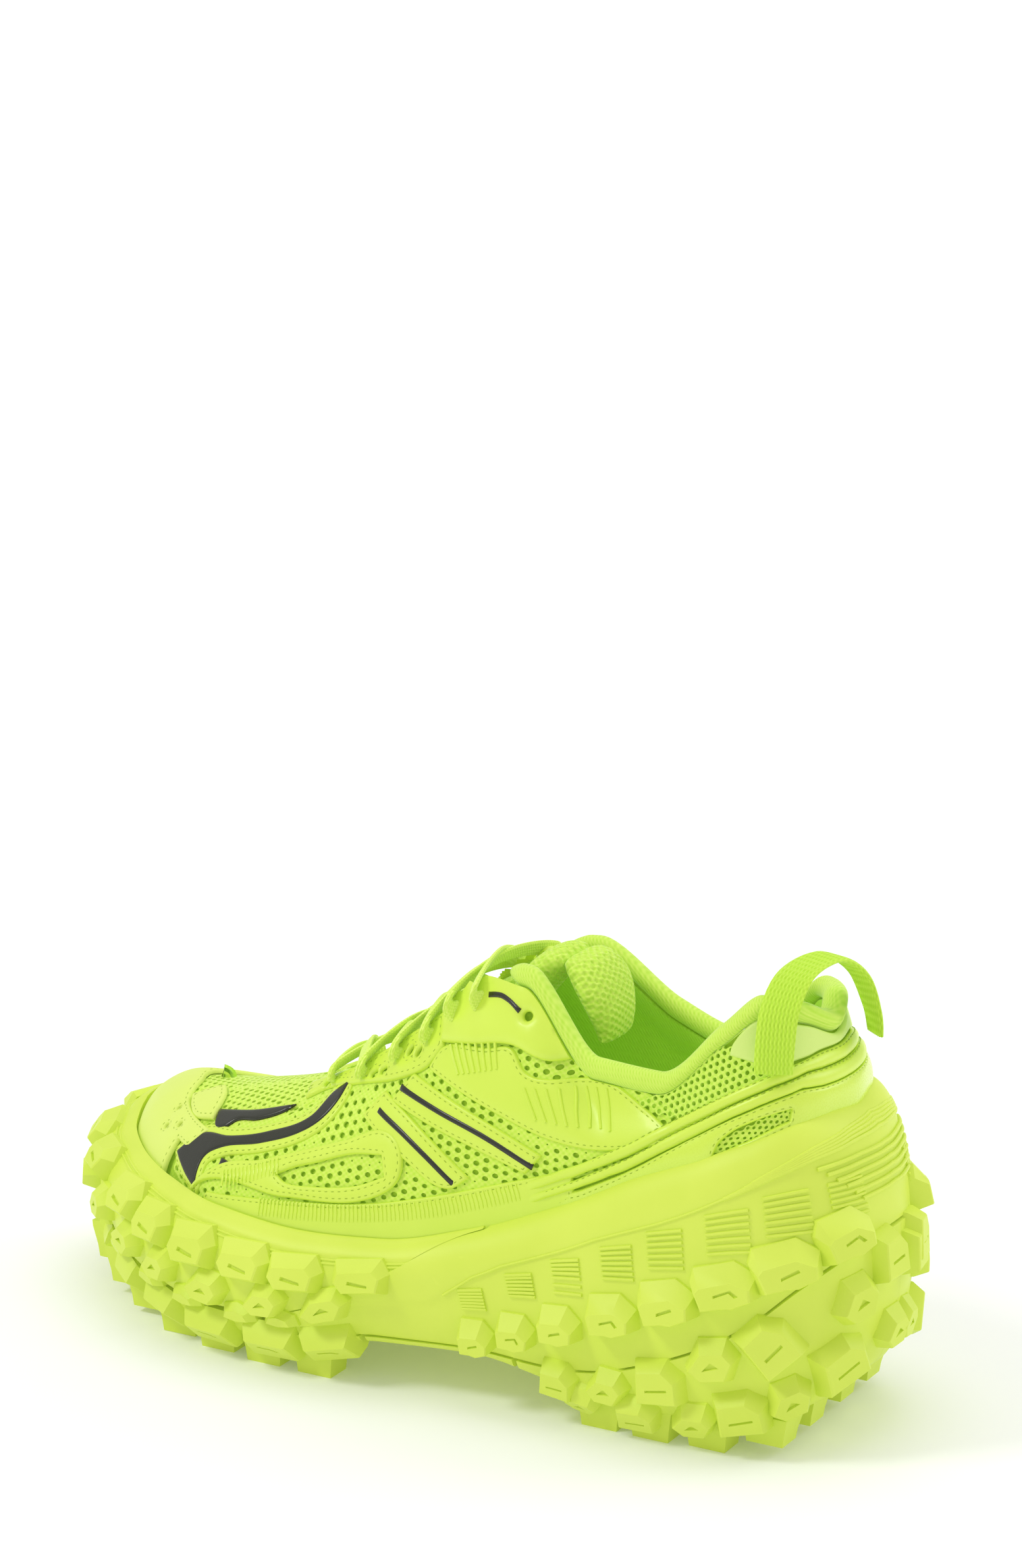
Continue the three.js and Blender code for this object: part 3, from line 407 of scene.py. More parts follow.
# ---------- geometry trees for what repeats ----------
def geometry_tree(name, inputs):
    tree = bpy.data.node_groups.new(name, "GeometryNodeTree")
    tree.interface.new_socket(name="Geometry", in_out="INPUT", socket_type="NodeSocketGeometry")
    for label, kind, value in inputs:
        socket_pair(tree, label, "INPUT", kind, value)
    tree.interface.new_socket(name="Geometry", in_out="OUTPUT", socket_type="NodeSocketGeometry")
    return tree, tree.nodes.new("NodeGroupInput"), tree.nodes.new("NodeGroupOutput")


def ended(tree, given, out, source):
    real = node(tree, "GeometryNodeRealizeInstances", {"Geometry": source})
    painted = node(tree, "GeometryNodeSetMaterial",
                   {"Geometry": real.outputs[0], "Material": given.outputs["Finish"]})
    tree.links.new(painted.outputs[0], out.inputs["Geometry"])
    return tree


MATERIAL, OBJECT = "NodeSocketMaterial", "NodeSocketObject"


def stitch_tree():
    tree, given, out = geometry_tree("stitch_rows", [
        ("Pitch", FLOAT, 0.0026), ("Length", FLOAT, 0.0017), ("Width", FLOAT, 0.0005),
        ("Height", FLOAT, 0.00045), ("Finish", MATERIAL, None)])
    curve = node(tree, "GeometryNodeMeshToCurve", {"Mesh": given.outputs["Geometry"]})
    spaced = node(tree, "GeometryNodeResampleCurve", {"Curve": curve.outputs[0]}, mode="LENGTH")
    tree.links.new(given.outputs["Pitch"], spaced.inputs["Length"])
    bead = node(tree, "GeometryNodeMeshUVSphere", in_Segments=6, in_Rings=4, in_Radius=0.5)
    facing = node(tree, "GeometryNodeInputNamedAttribute", data_type="FLOAT_VECTOR", in_Name="facing")
    tangent = node(tree, "GeometryNodeInputTangent")
    first = node(tree, "FunctionNodeAlignRotationToVector", {"Vector": tangent.outputs[0]}, axis="X")
    second = node(tree, "FunctionNodeAlignRotationToVector",
                  {"Rotation": first.outputs[0], "Vector": facing.outputs["Attribute"]}, axis="Z",
                  pivot_axis="X")
    size = node(tree, "ShaderNodeCombineXYZ", {
        "X": given.outputs["Length"], "Y": given.outputs["Width"], "Z": given.outputs["Height"]})
    placed = node(tree, "GeometryNodeInstanceOnPoints", {
        "Points": spaced.outputs[0], "Instance": bead.outputs["Mesh"],
        "Rotation": second.outputs[0], "Scale": size.outputs[0]})
    return ended(tree, given, out, placed.outputs[0])


def ridge_tree():
    tree, given, out = geometry_tree("ridge_lines", [
        ("Radius", FLOAT, 0.0005), ("Sides", "NodeSocketInt", 8), ("Finish", MATERIAL, None)])
    curve = node(tree, "GeometryNodeMeshToCurve", {"Mesh": given.outputs["Geometry"]})
    profile = node(tree, "GeometryNodeCurvePrimitiveCircle", {
        "Resolution": given.outputs["Sides"], "Radius": given.outputs["Radius"]})
    swept = node(tree, "GeometryNodeCurveToMesh", {
        "Curve": curve.outputs[0], "Profile Curve": profile.outputs["Curve"]})
    swept.inputs["Fill Caps"].default_value = True
    return ended(tree, given, out, swept.outputs[0])


def block_tree():
    tree, given, out = geometry_tree("blocks_on_points",
                                     [("Block", OBJECT, None), ("Finish", MATERIAL, None)])
    block = node(tree, "GeometryNodeObjectInfo", {"Object": given.outputs["Block"]})
    turn = node(tree, "GeometryNodeInputNamedAttribute", data_type="FLOAT_VECTOR", in_Name="turn")
    size = node(tree, "GeometryNodeInputNamedAttribute", data_type="FLOAT_VECTOR", in_Name="stretch")
    spin = node(tree, "FunctionNodeEulerToRotation", {"Euler": turn.outputs["Attribute"]})
    placed = node(tree, "GeometryNodeInstanceOnPoints", {
        "Points": given.outputs["Geometry"], "Instance": block.outputs["Geometry"],
        "Rotation": spin.outputs[0], "Scale": size.outputs["Attribute"]})
    return ended(tree, given, out, placed.outputs[0])


def open_cell_tree():
    tree, given, out = geometry_tree("open_cells", [
        ("Hole", FLOAT, 0.55), ("Thickness", FLOAT, 0.0006), ("Rounding", "NodeSocketInt", 1),
        ("Finish", MATERIAL, None)])
    bars = node(tree, "GeometryNodeExtrudeMesh", {"Mesh": given.outputs["Geometry"]}, mode="FACES")
    bars.inputs["Offset Scale"].default_value = 0
    bars.inputs["Individual"].default_value = True
    share = node(tree, "GeometryNodeInputNamedAttribute", data_type="FLOAT", in_Name="openness")
    amount = node(tree, "ShaderNodeMath", {0: share.outputs["Attribute"], 1: given.outputs["Hole"]},
                  operation="MULTIPLY")
    small = node(tree, "GeometryNodeScaleElements", {
        "Geometry": bars.outputs["Mesh"], "Selection": bars.outputs["Top"], "Scale": amount.outputs[0]})
    opened = node(tree, "GeometryNodeDeleteGeometry", {
        "Geometry": small.outputs[0], "Selection": bars.outputs["Top"]}, domain="FACE")
    merged = node(tree, "GeometryNodeMergeByDistance", {"Geometry": opened.outputs[0]})
    merged.inputs["Distance"].default_value = 1e-5
    rounded = node(tree, "GeometryNodeSubdivisionSurface", {
        "Mesh": merged.outputs[0], "Level": given.outputs["Rounding"]})
    raised_face = node(tree, "GeometryNodeExtrudeMesh", {
        "Mesh": rounded.outputs[0], "Offset Scale": given.outputs["Thickness"]}, mode="FACES")
    raised_face.inputs["Individual"].default_value = False
    back = node(tree, "GeometryNodeFlipFaces", {"Mesh": rounded.outputs[0]})
    both = tree.nodes.new("GeometryNodeJoinGeometry")
    tree.links.new(raised_face.outputs["Mesh"], both.inputs[0])
    tree.links.new(back.outputs[0], both.inputs[0])
    sealed = node(tree, "GeometryNodeMergeByDistance", {"Geometry": both.outputs[0]})
    sealed.inputs["Distance"].default_value = 1e-6
    return ended(tree, given, out, sealed.outputs[0])


STITCHES = stitch_tree()
RIDGES = ridge_tree()
BLOCKS = block_tree()
OPEN_CELLS = open_cell_tree()


def socket_id(tree, label):
    return next(item.identifier for item in tree.interface.items_tree
                if item.name == label and getattr(item, "in_out", "") == "INPUT")


def grown(name, carrier, tree, finish, angle=40, recalc=True, **values):
    modifier = carrier.modifiers.new("grow", "NODES")
    modifier.node_group = tree
    modifier[socket_id(tree, "Finish")] = FINISH[finish]
    for key, value in values.items():
        modifier[socket_id(tree, key)] = value
    bpy.context.view_layer.update()
    evaluated = carrier.evaluated_get(bpy.context.evaluated_depsgraph_get())
    mesh = bpy.data.meshes.new_from_object(evaluated)
    obj = bpy.data.objects.new(name, mesh)
    scene.collection.objects.link(obj)
    carrier.modifiers.remove(modifier)
    bpy.data.objects.remove(carrier)
    if recalc:
        tidy_mesh(obj)
    settle_shading(mesh, angle)
    return obj


def path_carrier(name, paths):
    points, facings, edges = [], [], []
    for line, normals in paths:
        start = len(points)
        points.extend(((np.asarray(line) + FRAME_SHIFT) * MM).tolist())
        facings.extend(np.asarray(normals).tolist())
        edges.extend((start + i, start + i + 1) for i in range(len(line) - 1))
    mesh = bpy.data.meshes.new(name)
    mesh.from_pydata(points, edges, [])
    store(mesh, "facing", facings)
    obj = bpy.data.objects.new(name, mesh)
    scene.collection.objects.link(obj)
    return obj


def point_carrier(name, places, turns, sizes):
    mesh = bpy.data.meshes.new(name)
    mesh.from_pydata(((np.asarray(places) + FRAME_SHIFT) * MM).tolist(), [], [])
    store(mesh, "turn", turns)
    store(mesh, "stretch", sizes)
    obj = bpy.data.objects.new(name, mesh)
    scene.collection.objects.link(obj)
    return obj


# ---------- sole walls ----------
def bell(x, middle, width):
    return np.exp(-(((x - middle) / width) ** 2))


RIM_LINE_T = [-7, -6.2, -5.5, -4.6, -3.6, -2.5, -1.4, 0.0, 0.87, 2.07, 2.98, 3.9, 4.78, 5.52, 6.22, 7.0]
RIM_LINE_H = [.33, .31, .27, .25, .22, .2, .16, .13, .12, .12, .16, .2, .25, .27, .3, .33]


def rim_line(t):
    return np.interp(t, RIM_LINE_T, RIM_LINE_H)


def fore_relief(t, h):
    lip = 0.9 * bell(h, 0.0, 0.06)
    step = -0.9 / (1 + np.exp(-(h - rim_line(t)) / 0.012))
    return lip + step


RAND_T = [6.6, 6.82, 7.43, 8.62, 9.52, 10.5, 11.28, 12.27, 13.75, 14.0]
RAND_H = [.6, .55, .43, .345, .315, .27, .235, .2, .165, .16]


def rand_line(t):
    folded = np.where(np.asarray(t) > 14, 28 - np.asarray(t), t)
    return np.interp(folded, RAND_T, RAND_H)


def wedge_relief(t, h):
    step = -0.8 / (1 + np.exp(-(h - rand_line(t)) / 0.01))
    return 0.5 * bell(h, 0.0, 0.05) + step


def wall_sections(stations, top, low, rows, relief, depth=None):
    sections = []
    for t in stations:
        h = np.linspace(top(t), low(t), rows)
        outer = raised(side, np.full(rows, t), h, relief(np.full(rows, t), h))
        amount = at("rim_inset", t) + 0.01 if depth is None else depth
        high = outer[0, 2] if top(t) > 0 else (outer[0, 2] + outer[-1, 2]) / 2
        inner = [inset(t, amount, outer[-1, 2]), inset(t, amount, high)]
        sections.append(np.vstack([outer, inner]))
    return sections


FORE_END = 7.1
SEAM = 0.006


def fore_seam(t):
    return float(at("fore_seam", t))


def wedge_top(t):
    nearest = min(t, TURN - t)
    return fore_seam(nearest) + SEAM if nearest < FORE_END + 0.05 else 0.0


forefoot_wall = lofted(
    "forefoot_sidewall_skin",
    wall_sections(np.linspace(-FORE_END, FORE_END, 330), lambda t: 0.0, fore_seam, 44, fore_relief),
    "rubber", angle=50)
keep(forefoot_wall, stands_for=["forefoot_sidewall"])

wedge_wall = lofted(
    "heel_wedge_skin",
    wall_sections(np.concatenate([np.linspace(5.05, 7.14, 50), np.linspace(7.16, 20.84, 420),
                                  np.linspace(20.86, 22.95, 50)]),
                  wedge_top, lambda t: float(at("tread_seam", t)) - SEAM, 44, wedge_relief),
    "rubber", angle=50)
keep(wedge_wall, stands_for=["heel_wedge_sidewall"])


def tray_sections(stations, rows=8, floor=3.5):
    sections = []
    for t in stations:
        far = TURN - t
        levels = np.linspace(float(at("tread_seam", t)), 1, rows)
        outer = side(np.full(rows, t), levels)
        mirror = side(np.full(rows, far), levels)[::-1]
        by = float(at("rim_inset", t))
        low = float(at("edge", t)) + floor
        inner = [inset(far, by, mirror[-1, 2]), inset(far, by, low), inset(t, by, low),
                 inset(t, by, outer[0, 2])]
        sections.append(np.vstack([outer, mirror, inner]))
    return sections


TRAYS = {"forefoot_tread": (0.0015, 5.8, 90), "arch_shank": (5.86, 7.5, 30),
         "rear_tread": (7.56, 13.9985, 110)}
for label, (start, end, count) in TRAYS.items():
    tray = lofted(label + "_skin", tray_sections(np.linspace(start, end, count)), "rubber", angle=50)
    keep(tray, stands_for=[label])


def inside(loop, q):
    x, y = q[:, 0][:, None], q[:, 1][:, None]
    x0, y0 = loop[:, 0][None], loop[:, 1][None]
    x1, y1 = np.roll(loop[:, 0], -1)[None], np.roll(loop[:, 1], -1)[None]
    crosses = (y0 > y) != (y1 > y)
    where = x0 + (y - y0) * (x1 - x0) / np.where(y1 == y0, 1e-12, y1 - y0)
    return (crosses & (x < where)).sum(1) % 2 == 1


# ---------- lugs ----------
def block_shape(name, base, top, height, slit=None, tilt=0.0, floor=-3.0):
    base, top = np.asarray(base, float), np.asarray(top, float)
    count = len(base)
    rim = top * 0.93 + top.mean(0) * 0.07
    lift = lambda ring: height + ring[:, 1] * tilt
    rings = [np.column_stack([base * 1.02, np.full(count, floor)]), np.column_stack([base, np.zeros(count)]),
             np.column_stack([top, lift(top) - 0.4]), np.column_stack([rim, lift(rim)])]
    points = np.vstack(rings)
    faces = ring_faces(4, count, caps=False)
    faces.append(tuple(range(count)))
    last = 3 * count
    if slit is None:
        faces.append(tuple(last + j for j in range(count)))
    else:
        slit = np.asarray(slit, float)
        loop = [tuple(p) for p in rim] + [tuple(p) for p in slit]
        edges = [(j, (j + 1) % count) for j in range(count)]
        edges += [(count + j, count + (j + 1) % len(slit)) for j in range(len(slit))]
        verts, _, tris, _, _, _ = delaunay_2d_cdt([Vector(p) for p in loop], edges, [], 1, 1e-6)
        flat = np.array([tuple(v) for v in verts])
        middles = np.array([flat[list(tri)].mean(0) for tri in tris])
        tris = [tri for tri, out in zip(tris, ~inside(slit, middles)) if out]
        base_index = len(points)
        points = np.vstack([points, np.column_stack([flat, lift(flat)])])
        faces += [tuple(base_index + k for k in tri) for tri in tris]
        well = len(points)
        deep = slit * 0.9 + slit.mean(0) * 0.1
        points = np.vstack([points, np.column_stack([slit, lift(slit)]),
                            np.column_stack([deep, lift(deep) - 1.1])])
        m = len(slit)
        faces += [(well + j, well + (j + 1) % m, well + m + (j + 1) % m, well + m + j) for j in range(m)]
        faces.append(tuple(well + m + j for j in range(m)))
    mesh = bpy.data.meshes.new(name)
    mesh.from_pydata((points * MM).tolist(), [], faces)
    obj = bpy.data.objects.new(name, mesh)
    scene.collection.objects.link(obj)
    tidy_mesh(obj)
    return obj


def local_frame(t, h):
    across = side(t + 0.05, h) - side(t - 0.05, h)
    across /= np.linalg.norm(across)
    out = outward_of(side, t, h)
    up = np.cross(out, across)
    up /= np.linalg.norm(up)
    if up[2] < 0:
        up = -up
    return across, up, np.cross(across, up)


def turn_of(t, h, spin=0.0, mirror=False):
    across, up, _ = local_frame(t, h)
    out = outward_of(side, t, h)
    x = across * math.cos(spin) + up * math.sin(spin)
    y = np.cross(out, x)
    if y[2] < -0.2 and abs(spin) < 1.2:
        x, y = -x, -y
    matrix = Matrix(np.column_stack([x, y, out]).tolist())
    return tuple(matrix.to_euler("XYZ"))


def lug_row(entries):
    places, turns, sizes = [], [], []
    for t, h, wide, tall, spin in entries:
        places.append(side(t, h))
        turns.append(turn_of(t, h, math.radians(spin)))
        sizes.append((wide, tall, 1.0))
    return places, turns, sizes


def both_sides(entries, middle=()):
    mirrored = [(TURN - t, h, w, k, -s) for t, h, w, k, s in entries]
    return list(entries) + list(middle) + mirrored


UPPER_LUG = block_shape(
    "shape_upper_lug", [(-.5, -.05), (-.42, .5), (.38, .54), (.5, .1), (.42, -.48), (-.34, -.5)],
    [(-.4, -.12), (-.33, .16), (.28, .22), (.4, .0), (.34, -.38), (-.26, -.42)], 4.6,
    [(-.16, -.16), (-.14, -.06), (.19, -.17), (.2, -.25), (.04, -.22)], tilt=-1.4)
PENTAGON_LUG = block_shape(
    "shape_pentagon_lug", [(-.5, -.1), (-.18, .5), (.32, .46), (.5, .05), (.27, -.5), (-.3, -.46)],
    [(-.4, -.1), (-.14, .26), (.26, .24), (.39, .0), (.2, -.38), (-.23, -.36)], 5.0,
    [(-.15, -.12), (.02, .06), (.15, -.08)], tilt=-1.0)
RIM_KNOB = block_shape(
    "shape_low_knob", [(-.5, -.3), (-.4, .3), (.0, .5), (.42, .26), (.5, -.3), (.0, -.5)],
    [(-.36, -.2), (-.26, .16), (.0, .26), (.28, .12), (.36, -.2), (.0, -.3)], 3.0)
HEEL_BASE = [(-.5, .2), (-.4, .5), (.22, .5), (.5, .1), (.46, -.4), (.1, -.52), (-.1, -.46), (-.45, -.48)]
HEEL_TOP = [(-.43, .03), (-.35, .12), (.14, .14), (.4, -.1), (.37, -.37), (.08, -.46), (-.09, -.41),
            (-.38, -.4)]
HEEL_LUG = block_shape("shape_heel_lug", HEEL_BASE, HEEL_TOP, 5.2,
                       [(-.13, -.21), (-.12, -.14), (.14, -.06), (.16, -.13)], tilt=-2.0)
HEEL_LUG_ANGLE = block_shape(
    "shape_heel_lug_angle", HEEL_BASE, HEEL_TOP, 5.2,
    [(-.15, -.15), (-.15, -.09), (.12, -.03), (.22, -.2), (.16, -.22), (.09, -.09)], tilt=-2.0)
GROOVED_LUG = block_shape(
    "shape_grooved_lug", [(-.5, -.5), (-.42, .5), (.2, .54), (.5, .2), (.46, -.5)],
    [(-.4, -.42), (-.33, .36), (.16, .4), (.38, .12), (.36, -.42)], 5.4,
    [(-.2, -.13), (-.2, -.07), (.22, -.03), (.22, -.09)], tilt=-0.8)
EDGE_BLOCK = block_shape(
    "shape_edge_block", [(-.5, -.5), (-.46, .46), (.44, .5), (.5, -.44)],
    [(-.42, -.4), (-.38, .34), (.36, .38), (.42, -.36)], 5.2,
    [(-.2, .08), (-.2, .15), (.06, .15), (.18, .03), (.13, .0), (.03, .08)], tilt=0.6)
TREAD_BLOCK = block_shape(
    "shape_tread_block", [(-.5, -.5), (-.5, .5), (.5, .5), (.5, -.5)],
    [(-.42, -.42), (-.42, .42), (.42, .42), (.42, -.42)], 1.0, floor=-0.2)

FORE_UPPER_ROW = [(0.60, .3, 19, 14, 0), (1.63, .3, 20, 14, 4), (2.67, .34, 21, 15, 4),
                  (3.28, .38, 20, 15, 4),
                  (3.95, .4, 21, 15, 3), (4.60, .41, 22, 14, 2), (5.18, .42, 22, 13, 0),
                  (5.88, .44, 22, 12, -2)]
FORE_MIDDLE_ROW = [(0.15, .5, 16, 13, 0), (1.2, .5, 16, 13, 0), (2.05, .53, 17, 13, 10),
                   (2.8, .56, 17, 13, -8),
                   (3.45, .58, 18, 13, 8), (4.15, .6, 18, 13, -6), (4.85, .6, 18, 12, 6),
                   (5.5, .6, 22, 12, 8)]
FORE_LOWER_ROW = [(0.7, .66, 14, 8, 0), (1.65, .67, 14, 8, 0), (2.45, .68, 15, 8, 0), (3.15, .7, 15, 8, 0),
                  (3.8, .7, 15, 8, 0), (4.5, .71, 15, 8, 0), (5.0, .69, 14, 7, 0)]
FORE_EDGE_ROW = [(1.5, .9, 18, 13, 0), (2.5, .9, 20, 14, 0), (3.3, .9, 22, 14, 3), (4.1, .9, 23, 14, 0),
                 (4.85, .9, 23, 14, -2), (5.5, .9, 22, 13, 0)]
WEDGE_ROW = [(7.12, .74, 13, 12, 2), (7.62, .68, 14, 12, 3), (8.20, .63, 16, 13, 4), (8.93, .58, 19, 14, 6),
             (9.75, .54, 21, 15, 8), (10.68, .5, 23, 15, 10), (11.65, .45, 24, 16, 12),
             (12.6, .4, 22, 16, 12)]
REAR_UPPER_ROW = [(13.5, .47, 15, 17, 8), (12.77, .55, 19, 17, 14), (11.42, .63, 19, 19, 38),
                  (10.48, .67, 20, 16, 6),
                  (9.60, .75, 19, 15, 4), (8.82, .8, 17, 13, 2), (8.13, .85, 15, 12, 0)]
REAR_LOWER_ROW = [(13.75, .68, 16, 15, 6), (12.6, .72, 22, 17, 20), (11.75, .8, 18, 15, 16),
                  (10.95, .84, 20, 15, 8),
                  (10.1, .9, 18, 13, 6), (9.2, .93, 17, 12, 0), (8.4, .95, 16, 11, 0)]


def lugs(name, rows):
    parts = []
    for i, (shape, entries) in enumerate(rows):
        carrier = point_carrier(name + "_points", *lug_row(entries))
        parts.append(grown("%s_%d" % (name, i), carrier, BLOCKS, "rubber", angle=28, Block=shape))
    return keep(joined(name, parts))


every_other = lambda row, start: [entry for i, entry in enumerate(row) if i % 2 == start]
lugs("forefoot_side_lugs", [
    (UPPER_LUG, both_sides(FORE_UPPER_ROW)),
    (PENTAGON_LUG, both_sides(FORE_MIDDLE_ROW)),
    (RIM_KNOB, both_sides(FORE_LOWER_ROW, [(0.0, .66, 14, 8, 0)]))])
lugs("forefoot_edge_blocks", [(EDGE_BLOCK, both_sides(FORE_EDGE_ROW))])
lugs("heel_wedge_lugs", [
    (HEEL_LUG, both_sides(every_other(WEDGE_ROW, 0))),
    (HEEL_LUG_ANGLE, both_sides(every_other(WEDGE_ROW, 1)))])
lugs("rear_side_lugs", [
    (GROOVED_LUG, both_sides(every_other(REAR_UPPER_ROW, 0) + every_other(REAR_LOWER_ROW, 1),
                             [(14.35, .49, 15, 15, 0)])),
    (PENTAGON_LUG, both_sides(every_other(REAR_UPPER_ROW, 1) + every_other(REAR_LOWER_ROW, 0)))])


def spread(start, end, pitch, travelled=0.0):
    out = []
    for t in np.arange(start, end, 0.02):
        travelled += float(np.linalg.norm(side(t + 0.02, 0.5) - side(t, 0.5)))
        if travelled >= pitch:
            travelled -= pitch
            out.append(t)
    return out


def ground(x):
    return max(0, -x - 96) * 0.13 + max(0, x - 112) * 0.22


def tread_blocks(start, end, pitch, skip, end_x):
    places, turns, sizes = [], [], []
    for row, t in enumerate(spread(start, end, pitch, skip)):
        x = float(at("x", t))
        if x + 8.5 > end_x:
            continue
        high = float(at("edge", t)) + 1.5
        low_y = side(t, 1.0)[1] + 5.46
        high_y = side(TURN - t, 1.0)[1] - 5.46
        for share in [0] + ([.32, .68] if row % 2 else [.5]) + [1]:
            places.append((x, low_y + (high_y - low_y) * share, high))
            turns.append((math.pi, 0, 0))
            sizes.append((17, 13, high - ground(x)))
    return places, turns, sizes


parts = [grown("tread_a", point_carrier("tread_points", *tread_blocks(1.4, 5.7, 21, 14, -16)), BLOCKS,
               "rubber",
               Block=TREAD_BLOCK, angle=30),
         grown("tread_b", point_carrier("tread_points", *tread_blocks(8.1, 13.2, 20, 6, 150)), BLOCKS,
               "rubber",
               Block=TREAD_BLOCK, angle=30)]
keep(joined("bottom_tread_lugs", parts))


# ---------- ridges and grooves moulded into the sole ----------
def sole_path(t_from, t_to, level, lift, count=60):
    t = np.linspace(t_from, t_to, count)
    h = level(t) if callable(level) else np.full(count, level)
    return raised(side, t, h, np.full(count, lift)), outward_of(side, t, h)


def step_of(t, h):
    along = np.linalg.norm(side(t + 0.05, h) - side(t - 0.05, h)) / 0.1
    down = np.linalg.norm(side(t, h + 0.01) - side(t, h - 0.01)) / 0.02
    return along, down


GROOVE_PANELS = [(7.08, .585, 9, 7), (7.67, .53, 10, 8), (8.27, .485, 11, 9), (8.97, .44, 12, 11),
                 (9.68, .40, 13, 12.5), (10.70, .365, 15, 13.5), (11.70, .335, 16, 13.5),
                 (12.78, .325, 15, 12)]
GROOVE_RIBS = 7
panel_ribs = []
for t, h, wide, tall in GROOVE_PANELS + [(TURN - t, h, w, k) for t, h, w, k in GROOVE_PANELS]:
    along, down = step_of(t, h)
    for k in range(GROOVE_RIBS):
        level = h + (k / (GROOVE_RIBS - 1) - 0.5) * tall / down
        lean = (k - 3) * 0.25 / along
        half = wide / 2 / along
        panel_ribs.append(sole_path(t - half + lean, t + half + lean, level, -0.55, 7))
ribs = grown("wedge_groove_ribs", path_carrier("ribs", panel_ribs), RIDGES, "rubber", Radius=0.00062)
keep(ribs)

heel_lines = []
for k in range(5):
    near_back = lambda t: np.clip((7.2 - np.abs(np.asarray(t) - 14)) / 3.4 - 1.1, 0, 1)
    rise = lambda t, k=k: rand_line(t) - 0.018 * k * near_back(t)
    start = 10.6 + 0.12 * k
    heel_lines.append(sole_path(start, TURN - start, rise, -0.35, 160))
for k in range(6):
    reach = 1.75 - 0.16 * k
    dip = lambda t, k=k: 0.215 + 0.022 * k + 0.012 * np.abs(np.asarray(t) - 14)
    heel_lines.append(sole_path(14 - reach, 14 + reach, dip, -0.3, 60))
keep(grown("heel_back_ridges", path_carrier("lines", heel_lines), RIDGES, "rubber", Radius=0.00072))

thin_lines = [sole_path(6.75, 21.25, rand_line, -0.25, 260)]
for k in (0, 1):
    thin_lines.append(sole_path(-6.9, 6.9, lambda t, k=k: rim_line(t) + 0.02 + 0.035 * k, -0.75, 260))
keep(grown("sole_thin_lines", path_carrier("lines", thin_lines), RIDGES, "rubber", Radius=0.00045))


# ---------- laying flat patterns on the upper ----------
SKIN_T = np.linspace(0, TURN, 701)[:-1]
SKIN_V = np.linspace(-0.12, 1, 72)


def skin_tree():
    t, v = np.meshgrid(SKIN_T, SKIN_V, indexing="ij")
    points = upper(t, v).reshape(-1, 3)
    rows = len(SKIN_V)
    polygons = []
    for i in range(len(SKIN_T)):
        k = (i + 1) % len(SKIN_T)
        for j in range(rows - 1):
            polygons.append((i * rows + j, k * rows + j, k * rows + j + 1, i * rows + j + 1))
    return BVHTree.FromPolygons(points.tolist(), polygons)


SKIN = skin_tree()


def cast(origins, direction, spare):
    places, facings = [], []
    toward = -Vector(direction)
    for origin, near in zip(origins, spare):
        hit, normal, _, _ = SKIN.ray_cast(Vector(origin), Vector(direction))
        wrong = hit is not None and abs(direction[1]) > 0.5 and (hit.y - 2.5) * direction[1] > 0
        if hit is None or wrong:
            hit, normal, _, _ = SKIN.find_nearest(Vector(near))
        if normal.dot(toward) < 0:
            normal = -normal
        places.append(tuple(hit))
        facings.append(tuple(normal))
    return np.array(places), np.array(facings)


def on_outer(q):
    return cast([(x, -200, z) for x, z in q], (0, 1, 0), [(x, -24, z) for x, z in q])


def on_inner(q):
    return cast([(x, 200, z) for x, z in q], (0, -1, 0), [(x, 28, z) for x, z in q])


def from_above(q):
    return cast([(x, y, 300) for x, y in q], (0, 0, -1), [(x, y, 70) for x, y in q])


UNROLL = (24.0, 60.0)


def unrolled(q):
    t, v = q[:, 0] / UNROLL[0], q[:, 1] / UNROLL[1]
    return upper(t, v), outward_of(upper, t, v)


SIDES = {"lateral": on_outer, "medial": on_inner}


def smooth_loop(points, step=1.1, sharp=58, closed=True):
    points = np.asarray(points, float)
    count = len(points)
    before = points - np.roll(points, 1, 0)
    after = np.roll(points, -1, 0) - points
    first = before / np.linalg.norm(before, axis=1, keepdims=True)
    second = after / np.linalg.norm(after, axis=1, keepdims=True)
    corner = (first * second).sum(1) < math.cos(math.radians(sharp))
    mid = first + second
    mid /= np.maximum(np.linalg.norm(mid, axis=1, keepdims=True), 1e-9)
    out = []
    for i in range(count if closed else count - 1):
        j = (i + 1) % count
        size = np.linalg.norm(after[i])
        a = (second[i] if corner[i] or (not closed and i == 0) else mid[i]) * size
        b = (first[j] if corner[j] or (not closed and j == count - 1) else mid[j]) * size
        steps = max(2, int(size / step))
        f = np.linspace(0, 1, steps, endpoint=False)[:, None]
        out.append(points[i] * (2 * f ** 3 - 3 * f ** 2 + 1) + a * (f ** 3 - 2 * f * f + f)
                   + points[j] * (3 * f * f - 2 * f ** 3) + b * (f ** 3 - f * f))
    if not closed:
        out.append(points[-1:])
    return np.vstack(out)


def distance_to(loops, q):
    best = np.full(len(q), 1e9)
    for loop in loops:
        a = loop[None]
        d = np.roll(loop, -1, 0)[None] - a
        f = (((q[:, None] - a) * d).sum(-1) / np.maximum((d * d).sum(-1), 1e-12)).clip(0, 1)
        best = np.minimum(best, np.linalg.norm(q[:, None] - a - d * f[..., None], axis=-1).min(1))
    return best


seam_paths = []


